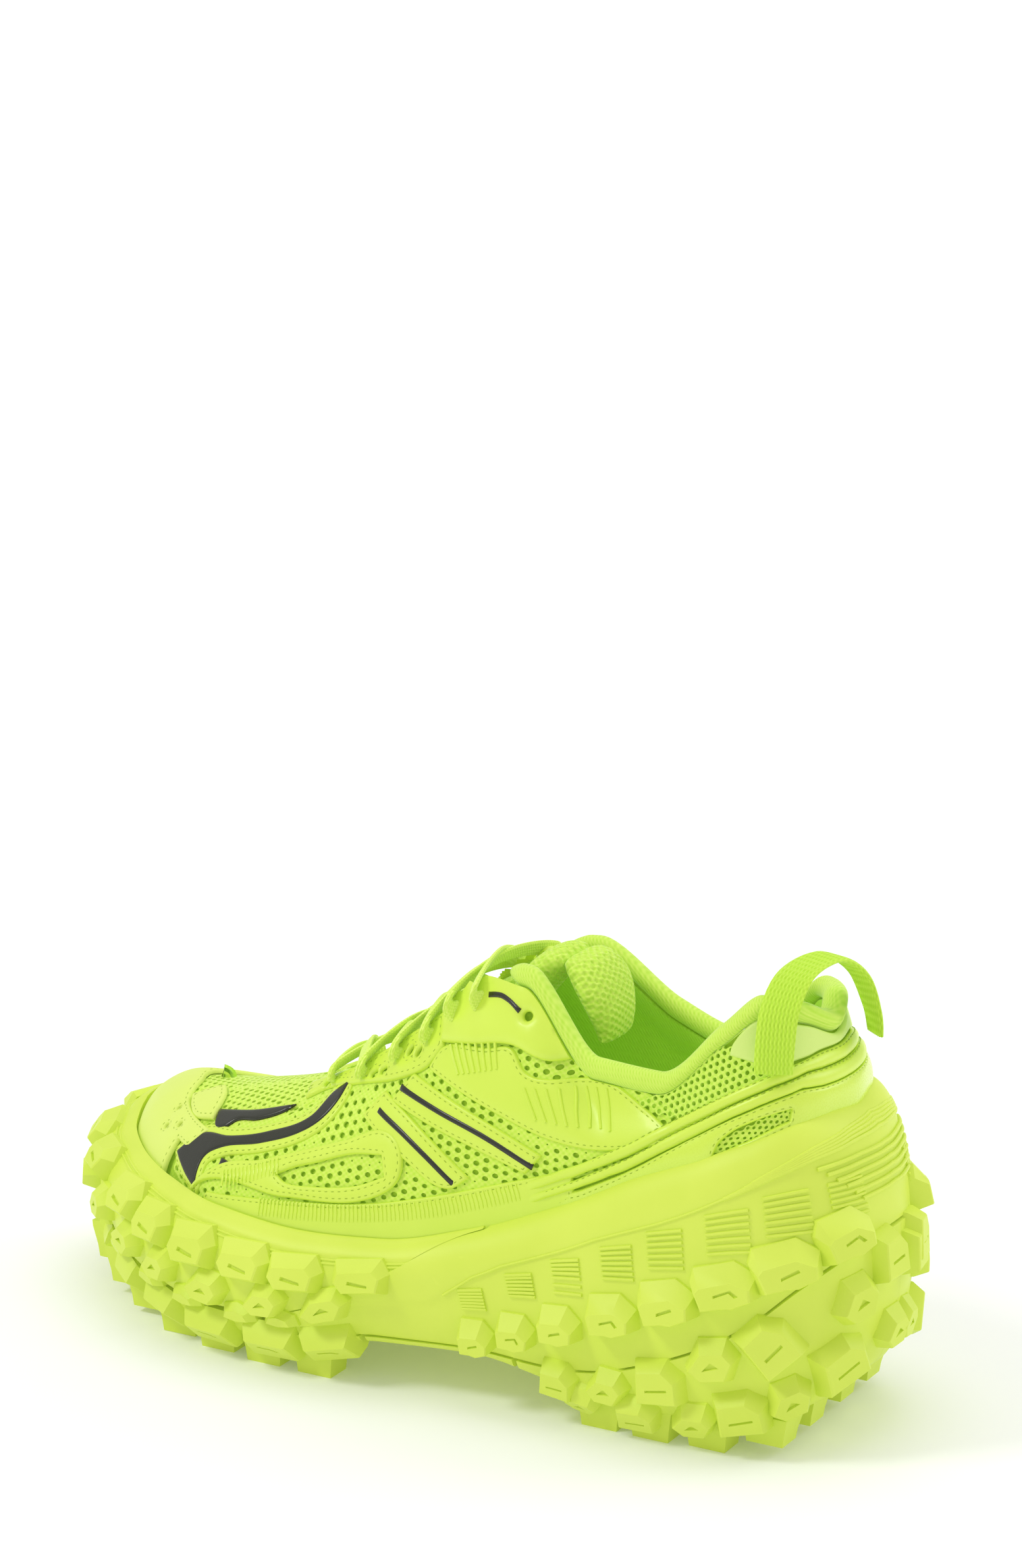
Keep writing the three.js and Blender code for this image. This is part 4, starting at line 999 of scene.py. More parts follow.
def offset_runs(loops, region, amount):
    runs = []
    for loop in loops:
        along = np.roll(loop, -1, 0) - np.roll(loop, 1, 0)
        across = np.stack([-along[:, 1], along[:, 0]], 1)
        across /= np.maximum(np.linalg.norm(across, axis=1, keepdims=True), 1e-9)
        for sign in (1, -1):
            q = loop + across * amount * sign
            good = region(q) & (distance_to(loops, q) > amount * 0.94)
            if good.mean() < 0.3:
                continue
            q = np.vstack([q, q[:1]])
            good = np.append(good, good[0])
            run = []
            for point, fine in zip(q, good):
                if fine:
                    run.append(point)
                elif len(run) > 3:
                    runs.append(np.array(run))
                    run = []
                else:
                    run = []
            if len(run) > 3:
                runs.append(np.array(run))
    return runs


def panel(name, outline, place, finish, base=0.1, height=1.0, bevel=1.0, holes=(), stitch=1.4, spacing=2.3,
          relief=None, nodes=(), body=SHOE, under=0.6, sharp=58):
    loops = [smooth_loop(outline, sharp=sharp)] + [smooth_loop(hole, 0.7) for hole in holes]

    def region(q):
        ok = inside(loops[0], q)
        for hole in loops[1:]:
            ok &= ~inside(hole, q)
        return ok

    extra = []
    for amount in (0.3, 0.7, 1.2, 1.8):
        for run in offset_runs(loops, region, amount):
            extra.append(run)
    low, high = loops[0].min(0), loops[0].max(0)
    gx, gy = np.meshgrid(np.arange(low[0], high[0], spacing), np.arange(low[1], high[1], spacing * 0.87))
    gx[1::2] += spacing / 2
    grid = np.stack([gx.ravel(), gy.ravel()], 1)
    grid = grid[region(grid)]
    if len(grid):
        grid = grid[distance_to(loops, grid) > 1.8 + spacing * 0.4]
        extra.append(grid)
    points = np.vstack(loops + extra)
    edges, start = [], 0
    for loop in loops:
        count = len(loop)
        edges += [(start + i, start + (i + 1) % count) for i in range(count)]
        start += count
    verts, _, tris, _, _, _ = delaunay_2d_cdt([Vector(p) for p in points], edges, [], 1, 1e-5)
    flat = np.array([tuple(v) for v in verts])
    tris = [tri for tri, ok in zip(tris, region(np.array([flat[list(tri)].mean(0) for tri in tris]))) if ok]
    d = distance_to(loops, flat)
    rise = height * np.sqrt(np.clip(1 - (1 - np.clip(d / bevel, 0, 1)) ** 2, 0, 1))
    if stitch:
        rise = rise - 0.3 * height * bell(d, stitch, 0.35)
    if relief is not None:
        rise = rise + relief(flat, d)
    p, n = place(flat)
    top = p + n * (base + rise)[:, None]
    low_side = p + n * (base - under)
    count = len(flat)
    faces = [tuple(tri) for tri in tris]
    seen = {}
    for a, b, c in faces:
        for edge in ((a, b), (b, c), (c, a)):
            seen[edge] = True
    rim = [edge for edge in seen if (edge[1], edge[0]) not in seen]
    faces += [(count + c, count + b, count + a) for a, b, c in tris]
    faces += [(b, a, count + a, count + b) for a, b in rim]
    obj = piece_from(name, np.vstack([top, low_side]), faces, finish, True, 60)
    if stitch:
        for run in offset_runs(loops, region, stitch):
            q, facing = place(run)
            seam_paths.append((q + facing * (base + height * 0.72), facing))
    if nodes is not None:
        keep(obj, body, nodes)
    return obj


# ---------- shells of the upper ----------
def shell(name, low, high, finish, nodes, columns=420, rows=34, ends=(0.0, 1.0)):
    t, v = np.meshgrid(np.linspace(0, TURN, columns + 1)[:-1], np.linspace(ends[0], ends[1], rows),
                       indexing="ij")
    layers = [raised(upper, t, v, np.full(t.shape, depth)).reshape(-1, 3) for depth in (high, low)]
    count = columns * rows
    faces = []
    for i in range(columns):
        k = (i + 1) % columns
        for j in range(rows - 1):
            a, b, c, d = i * rows + j, k * rows + j, k * rows + j + 1, i * rows + j + 1
            faces.append((a, b, c, d))
            faces.append((count + d, count + c, count + b, count + a))
        for j in (0, rows - 1):
            a, b = i * rows + j, k * rows + j
            faces.append((a, b, count + b, count + a) if j else (b, a, count + a, count + b))
    obj = piece_from(name, np.vstack(layers), faces, finish, False, 70)
    return keep(obj, SHOE, nodes)


shell("knit_backing", -2.6, -1.7, "backing", ["mesh_upper"])
shell("inner_lining", -5.0, -3.9, "lining", ["lining"], ends=(0.0, 1.0))

# ---------- outlines on the upper, side view unless said ----------
FLAME_LARGE = [(-108, 61), (-100, 57), (-92, 54), (-92.8, 59), (-92, 63.5), (-86, 67.6), (-68, 72.8),
               (-54, 78.3),
               (-45.8, 84), (-41.8, 90), (-40.8, 96), (-46.5, 91), (-51, 84), (-68, 75.9), (-84, 71.4),
               (-99, 68.4)]
FLAME_SMALL = [(-98, 75), (-91, 76.5), (-80, 79), (-63, 84), (-65.5, 82), (-76, 77.5), (-86, 75),
               (-90, 72.2),
               (-95, 71.6)]
FORE_OVERLAY = [(-95, 52), (-82, 64), (-64, 69), (-48, 75), (-30, 82), (-14, 88), (-7, 84), (-6, 74),
                (-16, 66), (-50, 60.5), (-90, 56.5), (-95, 48)]
FORE_WINDOW = [(-56, 66.5), (-49, 70), (-42, 72.5), (-26, 78.5), (-14, 80.5), (-11.5, 74), (-22, 69.3),
               (-40, 65.8),
               (-52, 65)]
MUDGUARD = [(-88, 46), (-86, 55), (-50, 59.5), (-14, 65), (10, 71.5), (34, 79.5), (60, 88.5), (62, 68),
            (20, 50),
            (-20, 45), (-60, 44)]
STRAP_REAR = [(-16, 97), (-9, 107), (4, 104.5), (24, 99), (48, 91), (42, 84), (18, 90)]
STRAP_FRONT = [(-27, 90), (-20, 99), (-8, 95), (6, 88), (21, 79), (13, 74), (-6, 81)]
QUARTER = [(-3, 110), (2, 118), (22, 122), (31, 123.5), (38, 117), (52, 116.5), (68, 118), (84, 112),
           (94, 107.5),
           (94, 103), (72, 97), (50, 97), (28, 102), (10, 107)]
EYESTAY = [(-63, 88.5), (-42, 99), (-16, 117), (-2, 127.5), (2, 118), (-4, 110), (-17, 103), (-36, 96.5),
           (-52, 90.5), (-60, 86)]
TOP_EYELET = [(1, 119), (-2, 128), (5, 140), (16, 150), (30, 151), (40, 149), (47, 138), (57, 124),
              (48, 121.5),
              (31, 124.5), (16, 122)]
COLLAR_MESH = [(80, 113), (90, 121), (107, 138.5), (112, 136.5), (128, 134), (130, 128), (117, 123),
               (98, 111)]
BAND_TOP = np.array([(40, 80), (62, 90.5), (82, 101.5), (103, 115), (118, 124.5), (129, 130.5), (136, 133.5),
                     (152, 130.8)])
BAND_DROP = 4.4
TOE_CAP = [(-114, -29.5), (-103, -28), (-95.5, -24.5), (-107, -16), (-117, -5), (-119, 6), (-117, 17),
           (-108, 25),
           (-98, 29), (-105, 32), (-114, 33)]
TOE_TAB = [(-117, -3), (-104, -1), (-99.5, -8), (-97, -20), (-106, -17), (-113, -10)]
AVOIDED = [FORE_OVERLAY, MUDGUARD, STRAP_REAR, STRAP_FRONT, QUARTER, EYESTAY, TOP_EYELET, COLLAR_MESH,
           FLAME_LARGE,
           FLAME_SMALL]


def oval(x, z, rx, rz, turn=0.0, count=14):
    a = np.linspace(0, 2 * math.pi, count, endpoint=False)
    c, s = math.cos(math.radians(turn)), math.sin(math.radians(turn))
    return [(x + rx * math.cos(k) * c - rz * math.sin(k) * s,
             z + rx * math.cos(k) * s + rz * math.sin(k) * c) for k in a]


def grown_outline(points, amount):
    loop = smooth_loop(points, 4.0)
    along = np.roll(loop, -1, 0) - np.roll(loop, 1, 0)
    across = np.stack([along[:, 1], -along[:, 0]], 1)
    across /= np.linalg.norm(across, axis=1, keepdims=True)
    moved = loop + across * amount
    if inside(loop, moved).mean() > 0.5:
        moved = loop - across * amount
    clear = distance_to([loop], moved) > amount * 0.85
    return [tuple(p) for p in moved[clear]]


def ribbon(points, width, taper=1.0):
    q = smooth_loop(points, 2.5, 80, closed=False)
    along = np.gradient(q, axis=0)
    across = np.stack([-along[:, 1], along[:, 0]], 1)
    across /= np.linalg.norm(across, axis=1, keepdims=True)
    half = width / 2 * np.linspace(1, taper, len(q))[:, None]
    return [tuple(p) for p in np.vstack([q + across * half, (q - across * half)[::-1]])]


# ---------- knitted mesh with real openings ----------
def cell_patch(name, region, place, avoid, finish, across=7.6, down=1.55, hole=0.56, base=-0.9, thick=0.6,
               lean=0.0, rounding=1, nodes=(), keep_out=2.6, rule=None, windows=()):
    outline = np.asarray(region, float)
    low, high = outline.min(0) - 4, outline.max(0) + 4
    index, corners, cells, openness = {}, [], [], []
    rows = int((high[1] - low[1]) / down) + 2
    columns = int((high[0] - low[0]) / across) + 2
    centres, spots = [], []
    for j in range(rows):
        for i in range(columns):
            centres.append((low[0] + (i + 0.5 * (j % 2)) * across, low[1] + j * down))
            spots.append((i, j))
    centres = np.array(centres)
    slanted = centres + np.stack([(centres[:, 1] - low[1]) * lean, (centres[:, 0] - low[0]) * 0], 1)
    wanted = inside(outline, slanted)
    for loop in avoid:
        loop = smooth_loop(loop)
        hidden = inside(loop, slanted)
        hidden[hidden] = distance_to([loop], slanted[hidden]) > keep_out
        wanted &= ~hidden
    for loop in windows:
        loop = smooth_loop(loop)
        wanted |= inside(loop, slanted) | (distance_to([loop], slanted) < 3.5)
    sixth = across / 6
    shape = [(2, 0), (1, 1), (-1, 1), (-2, 0), (-1, -1), (1, -1)]
    for centre, spot, ok in zip(centres, spots, wanted):
        if not ok:
            continue
        cell = []
        for u, w in shape:
            x, z = centre[0] + u * sixth, centre[1] + w * down
            key = (round(x * 50), round(z * 50))
            if key not in index:
                index[key] = len(corners)
                corners.append((x + (z - low[1]) * lean, z))
            cell.append(index[key])
        cells.append(tuple(cell))
        openness.append(rule(spot) if rule else 1.0)
    p, n = place(np.array(corners))
    mesh = bpy.data.meshes.new(name)
    mesh.from_pydata(((p + n * base + FRAME_SHIFT) * MM).tolist(), [], cells)
    made = mesh.attributes.new("openness", "FLOAT", "FACE")
    made.data.foreach_set("value", openness)
    obj = bpy.data.objects.new(name, mesh)
    scene.collection.objects.link(obj)
    work = bmesh.new()
    work.from_mesh(mesh)
    bmesh.ops.recalc_face_normals(work, faces=work.faces)
    first = work.faces[:][0]
    if first.normal.dot(Vector(n[cells[0][0]])) < 0:
        bmesh.ops.reverse_faces(work, faces=work.faces)
    work.to_mesh(mesh)
    work.free()
    grown_piece = grown(name, obj, OPEN_CELLS, finish, 60, False, Hole=hole, Thickness=thick * MM,
                        Rounding=rounding)
    return keep(grown_piece, SHOE, nodes)


SIDE_REGION = [(-110, 58), (-97, 72), (-60, 84), (-40, 96), (-14, 114), (2, 126), (16, 146), (40, 146),
               (52, 128),
               (84, 116), (100, 116), (84, 98), (60, 84), (20, 68), (-20, 58), (-60, 50), (-92, 48)]
VAMP_REGION = [(-121, 8), (-118, -6), (-108, -16), (-97, -24), (-80, -27), (-62, -26), (-44, -18), (-40, 0),
               (-44, 20),
               (-62, 32), (-80, 34), (-97, 32), (-108, 24), (-118, 16)]


def weave_rule(spot):
    return 0.35 if spot[1] % 12 in (9, 10) else (1.0 + 0.12 * math.sin(spot[0] * 1.7 + spot[1] * 0.6))


for which, place in SIDES.items():
    cell_patch("knit_mesh_" + which, SIDE_REGION, place, AVOIDED, "mesh", rule=weave_rule,
               windows=[FORE_WINDOW])
    cell_patch("spacer_mesh_" + which, COLLAR_MESH, place, [], "spacer", 4.4, 1.27, 0.62, -0.4, 1.1, 0.0, 1,
               ["collar_mesh_" + which])
cell_patch("knit_mesh_vamp", VAMP_REGION, from_above, [], "mesh", 6.2, 1.35, rule=weave_rule)


# ---------- overlays ----------
SLOTS = [oval(-53, 91.3, 2.0, .7, 25), oval(-29, 101, 1.9, .9, 30), oval(-24.6, 103.2, 1.9, .9, 30),
         oval(-14, 112, 1.9, .9, 60), oval(-9.5, 113, 1.9, .9, 60)]
rung_paths, rib_paths, black_marks = [], [], []


def surface_line(place, points, lift, count=16):
    q = smooth_loop(points, 1.2, 80, closed=False)
    p, n = place(q)
    return p + n * lift, n


for which, place in SIDES.items():
    panel("mudguard_skin_" + which, MUDGUARD, place, "overlay", 0.1, 1.1, 1.3, nodes=["mudguard_" + which])
    panel("forefoot_overlay_skin_" + which, FORE_OVERLAY, place, "overlay", 0.9, 1.1, 1.3, [FORE_WINDOW],
          nodes=["forefoot_overlay_" + which])
    panel("strap_front_skin_" + which, STRAP_FRONT, place, "overlay", 0.4, 1.0, 1.2,
          nodes=["strap_front_" + which])
    panel("strap_rear_skin_" + which, STRAP_REAR, place, "overlay", 0.4, 1.0, 1.2,
          nodes=["strap_rear_" + which])
    panel("quarter_skin_" + which, QUARTER, place, "overlay", 0.2, 1.0, 1.2,
          nodes=["quarter_overlay_" + which])
    panel("eyestay_skin_" + which, EYESTAY, place, "overlay", 0.5, 1.1, 1.2, SLOTS,
          nodes=["eyestay_" + which])
    panel("top_eyelet_skin_" + which, TOP_EYELET, place, "overlay", 1.1, 2.0, 3.4,
          [oval(36, 134.5, 1.6, 1.5)],
          stitch=0, nodes=["top_eyelet_panel_" + which])
    panel("flame_border_" + which, grown_outline(FLAME_LARGE, 2.3), place, "overlay", -0.1, 0.9, 1.0,
          stitch=0.9,
          nodes=[], sharp=40)
    panel("flame_edge_" + which, FLAME_LARGE, place, "black", 0.85, 0.45, 0.5, stitch=0,
          nodes=["flame_film_" + which])
    panel("flame_small_edge_" + which, FLAME_SMALL, place, "black", 0.3, 0.5, 0.5, stitch=0,
          nodes=["flame_accent_" + which])
    for label, line, width, base in (("rear", [(-13, 101.6), (4, 98.8), (24, 94.2), (45, 86.8)], 2.1, 1.15),
                                     ("front", [(-20.5, 93.3), (-9, 89.4), (4, 83.2), (15.5, 76.2)], 2.1,
                                      1.15),
                                     ("toe", [(-83, 64.5), (-78, 64), (-74, 62.6)], 2.4, 0.9),
                                     ("eyelet", [(19, 137.2), (25, 138.4), (30, 137.4), (33.6, 135.6)], 1.7,
                                      3.05)):
        mark = panel("mark_%s_%s" % (label, which), ribbon(line, width), place, "black", base, 0.55, 0.6,
                     stitch=0,
                     nodes=None, sharp=70)
        black_marks.append(mark)
    for k in range(8):
        f = k / 7
        a = (6 + 18 * f, 119.5 + 6.5 * f)
        b = (12 + 15 * f, 111.5 + 4.5 * f)
        rung_paths.append(surface_line(place, [a, b], 1.25))
        a = (39 + 29 * f, 112 + 3.5 * f)
        b = (45 + 28 * f, 102.6 + 0.4 * f)
        rung_paths.append(surface_line(place, [a, b], 1.25))
    middle = [(-60, 55.5), (-30, 59), (-4, 63.5), (18, 69.5), (40, 77.5)]
    rib_paths.append(surface_line(place, middle, 1.15))
    rib_paths.append(surface_line(place, [(-78, 60.5), (-66, 64.5), (-56, 68.5)], 1.95))

mark_piece = joined("black_marks", black_marks)
keep(mark_piece)
keep(grown("ladder_rungs", path_carrier("rungs", rung_paths), RIDGES, "overlay", Radius=0.00055))
keep(grown("overlay_fine_ribs", path_carrier("ribs", rib_paths), STITCHES, "overlay",
           Pitch=0.0016, Length=0.0011, Width=0.0072, Height=0.0009))

TOE_T, TOE_V = (grid.ravel() for grid in np.meshgrid(np.linspace(-4.5, 4.5, 361), np.linspace(0, 1, 161)))
TOE_GRID = upper(TOE_T, TOE_V)


def toe_spot(x, y):
    k = np.linalg.norm(TOE_GRID - from_above([(x, y)])[0][0], axis=1).argmin()
    return TOE_T[k] * UNROLL[0], TOE_V[k] * UNROLL[1]


CAP_EDGE = [toe_spot(x, y) for x, y in TOE_CAP]
CAP_LOW = [(t * UNROLL[0], 0.03 * UNROLL[1])
           for t in np.linspace(CAP_EDGE[-1][0], CAP_EDGE[0][0], 9) / UNROLL[0]]
CAP_HOLES = [oval(*toe_spot(x, y), 1.1, 1.1) for x, y in
             ((-119.5, -8), (-121, -14), (-113, -17), (-121, 20), (-122, 26), (-114, 28))]
panel("toe_cap_skin", CAP_EDGE + CAP_LOW, unrolled, "cap", 0.5, 1.2, 1.4, CAP_HOLES, spacing=2.6,
      nodes=["toe_cap"])
panel("toe_tab_skin", TOE_TAB, from_above, "cap", 0.9, 1.1, 1.2, nodes=["toe_tab"])


# ---------- heel pieces on the unrolled heel ----------
def level_at(t, drop):
    v = np.linspace(0, 1, 260)
    p = upper(np.full(v.shape, t), v)
    gap = p[:, 2] - (np.interp(p[:, 0], BAND_TOP[:, 0], BAND_TOP[:, 1]) - drop)
    above = np.nonzero(gap > 0)[0]
    return float(v[above[0]]) if len(above) else 1.0


def strip(name, start, end, low, high, finish, base, height, nodes, columns=240, rows=13):
    sections = []
    for t in np.linspace(start, end, columns):
        v0, v1 = low(t), high(t)
        w = np.linspace(0, 1, rows)
        v = v0 + (v1 - v0) * w
        fade = min(1.0, (min(t - start, end - t) + 0.02) / 0.25)
        rise = base + height * np.sqrt(np.clip(1 - (2 * w - 1) ** 2, 0, 1)) * fade
        top = raised(upper, np.full(rows, t), v, rise)
        under = raised(upper, np.full(3, t), np.array([v1, (v0 + v1) / 2, v0]), np.full(3, base - 0.5))
        sections.append(np.vstack([top, under]))
    return keep(lofted(name, sections, finish, angle=60), SHOE, nodes)


BAND_T = np.linspace(7.4, 20.6, 110)
BAND_V = {drop: np.array([level_at(t, drop) for t in BAND_T]) for drop in (0, BAND_DROP, 2 * BAND_DROP)}
band_level = lambda drop, shift=0.0: (lambda t: float(np.interp(t, BAND_T, BAND_V[drop])) + shift)
strip("heel_band_upper_piping", 7.6, 20.4, band_level(BAND_DROP, .006), band_level(0), "overlay", 0.7, 1.5,
      ["heel_band_upper"])
strip("heel_band_lower_piping", 7.6, 20.4, band_level(2 * BAND_DROP, .006), band_level(BAND_DROP, -.006),
      "overlay",
      0.7, 1.5, ["heel_band_lower"])
for drop in (0, BAND_DROP):
    t = np.linspace(7.9, 20.1, 220)
    v = np.array([band_level(drop, -0.013)(k) for k in t])
    seam_paths.append((raised(upper, t, v, np.full(len(t), 1.75)), outward_of(upper, t, v)))

skin_top = [(t, band_level(2 * BAND_DROP, -0.004)(t)) for t in np.linspace(8.0, 20.0, 40)]
skin_outline = [(t * UNROLL[0], v * UNROLL[1]) for t, v in skin_top + [(20.2, .03), (14, .03), (7.8, .03)]]
window = lambda a, b, v: [(a * UNROLL[0], (v - .05) * UNROLL[1]),
                          ((a + .25) * UNROLL[0], (v + .05) * UNROLL[1]),
                          (b * UNROLL[0], (v + .03) * UNROLL[1]),
                          ((b - .1) * UNROLL[0], (v - .05) * UNROLL[1])]
HEEL_WINDOWS = [window(10.35, 11.95, .24), window(TURN - 11.95, TURN - 10.35, .24)]
panel("heel_skin_gloss", skin_outline, unrolled, "skin", 0.2, 1.1, 1.3, HEEL_WINDOWS, spacing=2.8,
      nodes=["heel_skin"])
for which, gap in zip(("lateral", "medial"), HEEL_WINDOWS):
    middle = np.mean(gap, 0)
    cell_patch("heel_mesh_" + which, [tuple(middle + (np.array(p) - middle) * 1.25) for p in gap], unrolled,
               [],
               "mesh", 5.2, 1.3, rule=weave_rule)
tab = [(11.2, .9), (11.3, .965), (12.6, .985), (14, .985), (15.4, .985), (16.7, .965), (16.8, .9),
       (16.1, band_level(0, .02)(16.1)),
       (15.3, band_level(0, .02)(15.3)), (14, band_level(0, .02)(14)), (12.7, band_level(0, .02)(12.7)),
       (11.9, band_level(0, .02)(11.9))]
panel("heel_tab_leather", [(t * UNROLL[0], v * UNROLL[1]) for t, v in tab], unrolled, "pale", 0.5, 1.3, 2.2,
      spacing=2.6, nodes=["heel_tab"], stitch=2.2)


# ---------- collar roll, tongue, laces, loop, sockliner ----------
def collar_sections():
    sections = []
    for t in np.linspace(7.5, TURN - 7.5, 260):
        p = upper(t, 1.0)
        nx, ny = plan_normal(t)
        out = np.array([float(nx), float(ny), 0.0])
        end = min(1.0, (min(t - 7.5, TURN - 7.5 - t) + 0.03) / 0.35) ** 0.5
        p = p - out * 2.4 + np.array([0, 0, 3.4])
        a = np.linspace(0, 2 * math.pi, 22, endpoint=False)
        ring = p + np.outer(np.cos(a) * 4.3 * end, out) + np.outer(np.sin(a) * 3.9 * end, [0, 0, 1])
        sections.append(ring)
    return sections


collar = lofted("collar_binding", collar_sections(), "binding", angle=80)
keep(collar, SHOE, ["collar_roll"])


def tongue_rings():
    sections = []
    for t in np.linspace(4.6, 7.0, 60):
        ends = []
        for side_t in (t, TURN - t):
            p = upper(side_t, 0.84)
            ends.append(p - outward_of(upper, side_t, 0.84) * 6)
        mid = (upper(t, 1.0) + upper(TURN - t, 1.0)) / 2 - np.array([0, 0, 3.6])
        pull = mid * 2 - (ends[0] + ends[1]) / 2
        s = np.linspace(0, 1, 26)[:, None]
        top = ends[0] * (1 - s) ** 2 + 2 * pull * s * (1 - s) + ends[1] * s * s
        low = (top + np.array([1.0, 0, -3.8]) * np.sin(np.pi * np.clip(s, .04, .96)) ** 0.5)[::-1]
        sections.append(np.vstack([top, low]))
    return sections


tongue = lofted("tongue_padded_lower", tongue_rings(), "spacer", angle=80)
keep(tongue, SHOE, ["tongue_lower"])

PAD_PITCH = 2.4


def pad_start(name, spine, half, thick):
    spine = np.asarray(spine, float)
    count = 26
    f = np.linspace(0, len(spine) - 1, count)
    path = np.stack([np.interp(f, range(len(spine)), spine[:, k]) for k in range(3)], 1)
    for _ in range(3):
        path[1:-1] = (path[:-2] + 2 * path[1:-1] + path[2:]) / 4
    along = np.gradient(path, axis=0)
    along /= np.linalg.norm(along, axis=1, keepdims=True)
    sections = []
    for k in range(count):
        s = k / (count - 1)
        n = np.array([-along[k, 2], 0, along[k, 0]])
        a = np.linspace(0, 2 * math.pi, 28, endpoint=False)
        swell = max(0.12, math.sin(math.pi * min(max(s, 0.02), 0.98)) ** 0.35)
        fullness = 0.72 + 0.28 * math.sin(math.pi * min(1, s * 1.2))
        y = np.sign(np.cos(a)) * np.abs(np.cos(a)) ** 0.8 * half * fullness
        sections.append(path[k] + np.outer(y, [0, 1, 0]) + np.outer(np.sin(a) * thick * swell, n))
    return lofted(name, sections, "spacer", angle=80), path


PRESS_STEPS = 20


def swollen(obj, voxel, pressure, cap):
    bpy.context.view_layer.objects.active = obj
    remesh = obj.modifiers.new("even", "REMESH")
    remesh.mode = "VOXEL"
    remesh.voxel_size = voxel * MM
    mesh = bpy.data.meshes.new_from_object(obj.evaluated_get(bpy.context.evaluated_depsgraph_get()))
    obj.modifiers.clear()
    obj.data = mesh
    start = np.array([v.co for v in mesh.vertices])
    press = obj.modifiers.new("press", "CLOTH")
    press.settings.use_pressure = True
    press.settings.uniform_pressure_force = pressure
    press.settings.effector_weights.gravity = 0
    press.settings.mass = 0.3
    press.settings.quality = 6
    press.point_cache.frame_start = 1
    press.point_cache.frame_end = PRESS_STEPS
    for step in range(1, PRESS_STEPS + 1):
        scene.frame_set(step)
    moved = np.zeros(len(mesh.vertices) * 3)
    obj.evaluated_get(bpy.context.evaluated_depsgraph_get()).data.vertices.foreach_get("co", moved)
    obj.modifiers.clear()
    shift = moved.reshape(-1, 3) - start
    size = np.linalg.norm(shift, axis=1, keepdims=True)
    limited = shift * np.minimum(1, cap * MM / np.maximum(size, 1e-9))
    mesh.vertices.foreach_set("co", (start + limited).ravel())
    scene.frame_set(1)
    fine = obj.modifiers.new("fine", "SUBSURF")
    fine.levels = fine.render_levels = 2
    smooth = bpy.data.meshes.new_from_object(obj.evaluated_get(bpy.context.evaluated_depsgraph_get()))
    obj.modifiers.clear()
    obj.data = smooth
    settle_shading(smooth, 80)
    smooth.materials.clear()
    smooth.materials.append(FINISH["spacer"])
    return obj


def dent_tree():
    tree, given, out = geometry_tree("pressed_holes", [
        ("Pitch", FLOAT, 0.0024), ("Depth", FLOAT, 0.0007), ("Finish", MATERIAL, None)])
    spot = node(tree, "GeometryNodeInputNamedAttribute", data_type="FLOAT_VECTOR", in_Name="weave")
    scaled = node(tree, "ShaderNodeVectorMath", {0: spot.outputs["Attribute"]}, operation="DIVIDE")
    tree.links.new(given.outputs["Pitch"], scaled.inputs[1])
    reach = []
    for shift in ((0.0, 0.0, 0.0), (0.5, 0.866, 0.0)):
        moved = node(tree, "ShaderNodeVectorMath", {0: scaled.outputs[0]}, operation="ADD")
        moved.inputs[1].default_value = shift
        wrapped = node(tree, "ShaderNodeVectorMath", {0: moved.outputs[0]}, operation="WRAP")
        wrapped.inputs[1].default_value = (0.5, 0.866, 1)
        wrapped.inputs[2].default_value = (-0.5, -0.866, -1)
        flat = node(tree, "ShaderNodeVectorMath", {0: wrapped.outputs[0]}, operation="MULTIPLY")
        flat.inputs[1].default_value = (1, 1, 0)
        reach.append(node(tree, "ShaderNodeVectorMath", {0: flat.outputs[0]},
                          operation="LENGTH").outputs["Value"])
    nearest = math_node(tree, "MINIMUM", reach[0], reach[1])
    wall = node(tree, "ShaderNodeMapRange", {"Value": nearest}, interpolation_type="SMOOTHSTEP")
    wall.inputs["From Min"].default_value = 0.22
    wall.inputs["From Max"].default_value = 0.4
    wall.inputs["To Min"].default_value = -1
    wall.inputs["To Max"].default_value = 0
    depth = math_node(tree, "MULTIPLY", wall.outputs[0], given.outputs["Depth"])
    normal = node(tree, "GeometryNodeInputNormal")
    push = node(tree, "ShaderNodeVectorMath", {0: normal.outputs[0]}, operation="SCALE")
    tree.links.new(depth, push.inputs["Scale"])
    dented = node(tree, "GeometryNodeSetPosition",
                  {"Geometry": given.outputs["Geometry"], "Offset": push.outputs[0]})
    return ended(tree, given, out, dented.outputs[0])


DENTS = dent_tree()


def with_dents(name, obj, path):
    co = np.zeros(len(obj.data.vertices) * 3)
    obj.data.vertices.foreach_get("co", co)
    co = co.reshape(-1, 3) / MM - FRAME_SHIFT
    lengths = np.concatenate([[0], np.cumsum(np.linalg.norm(np.diff(path, axis=0), axis=1))])
    nearest = np.linalg.norm(co[:, None, ::2] - path[None, :, ::2], axis=-1).argmin(1)
    tangent = np.gradient(path, axis=0)[nearest]
    tangent_length = np.maximum(np.linalg.norm(tangent, axis=1), 1e-9)
    along = lengths[nearest] + ((co - path[nearest]) * tangent).sum(1) / tangent_length
    store(obj.data, "weave", np.stack([along * MM, co[:, 1] * MM, np.zeros(len(co))], 1))
    return grown(name, obj, DENTS, "spacer", 80, False, Pitch=PAD_PITCH * MM)


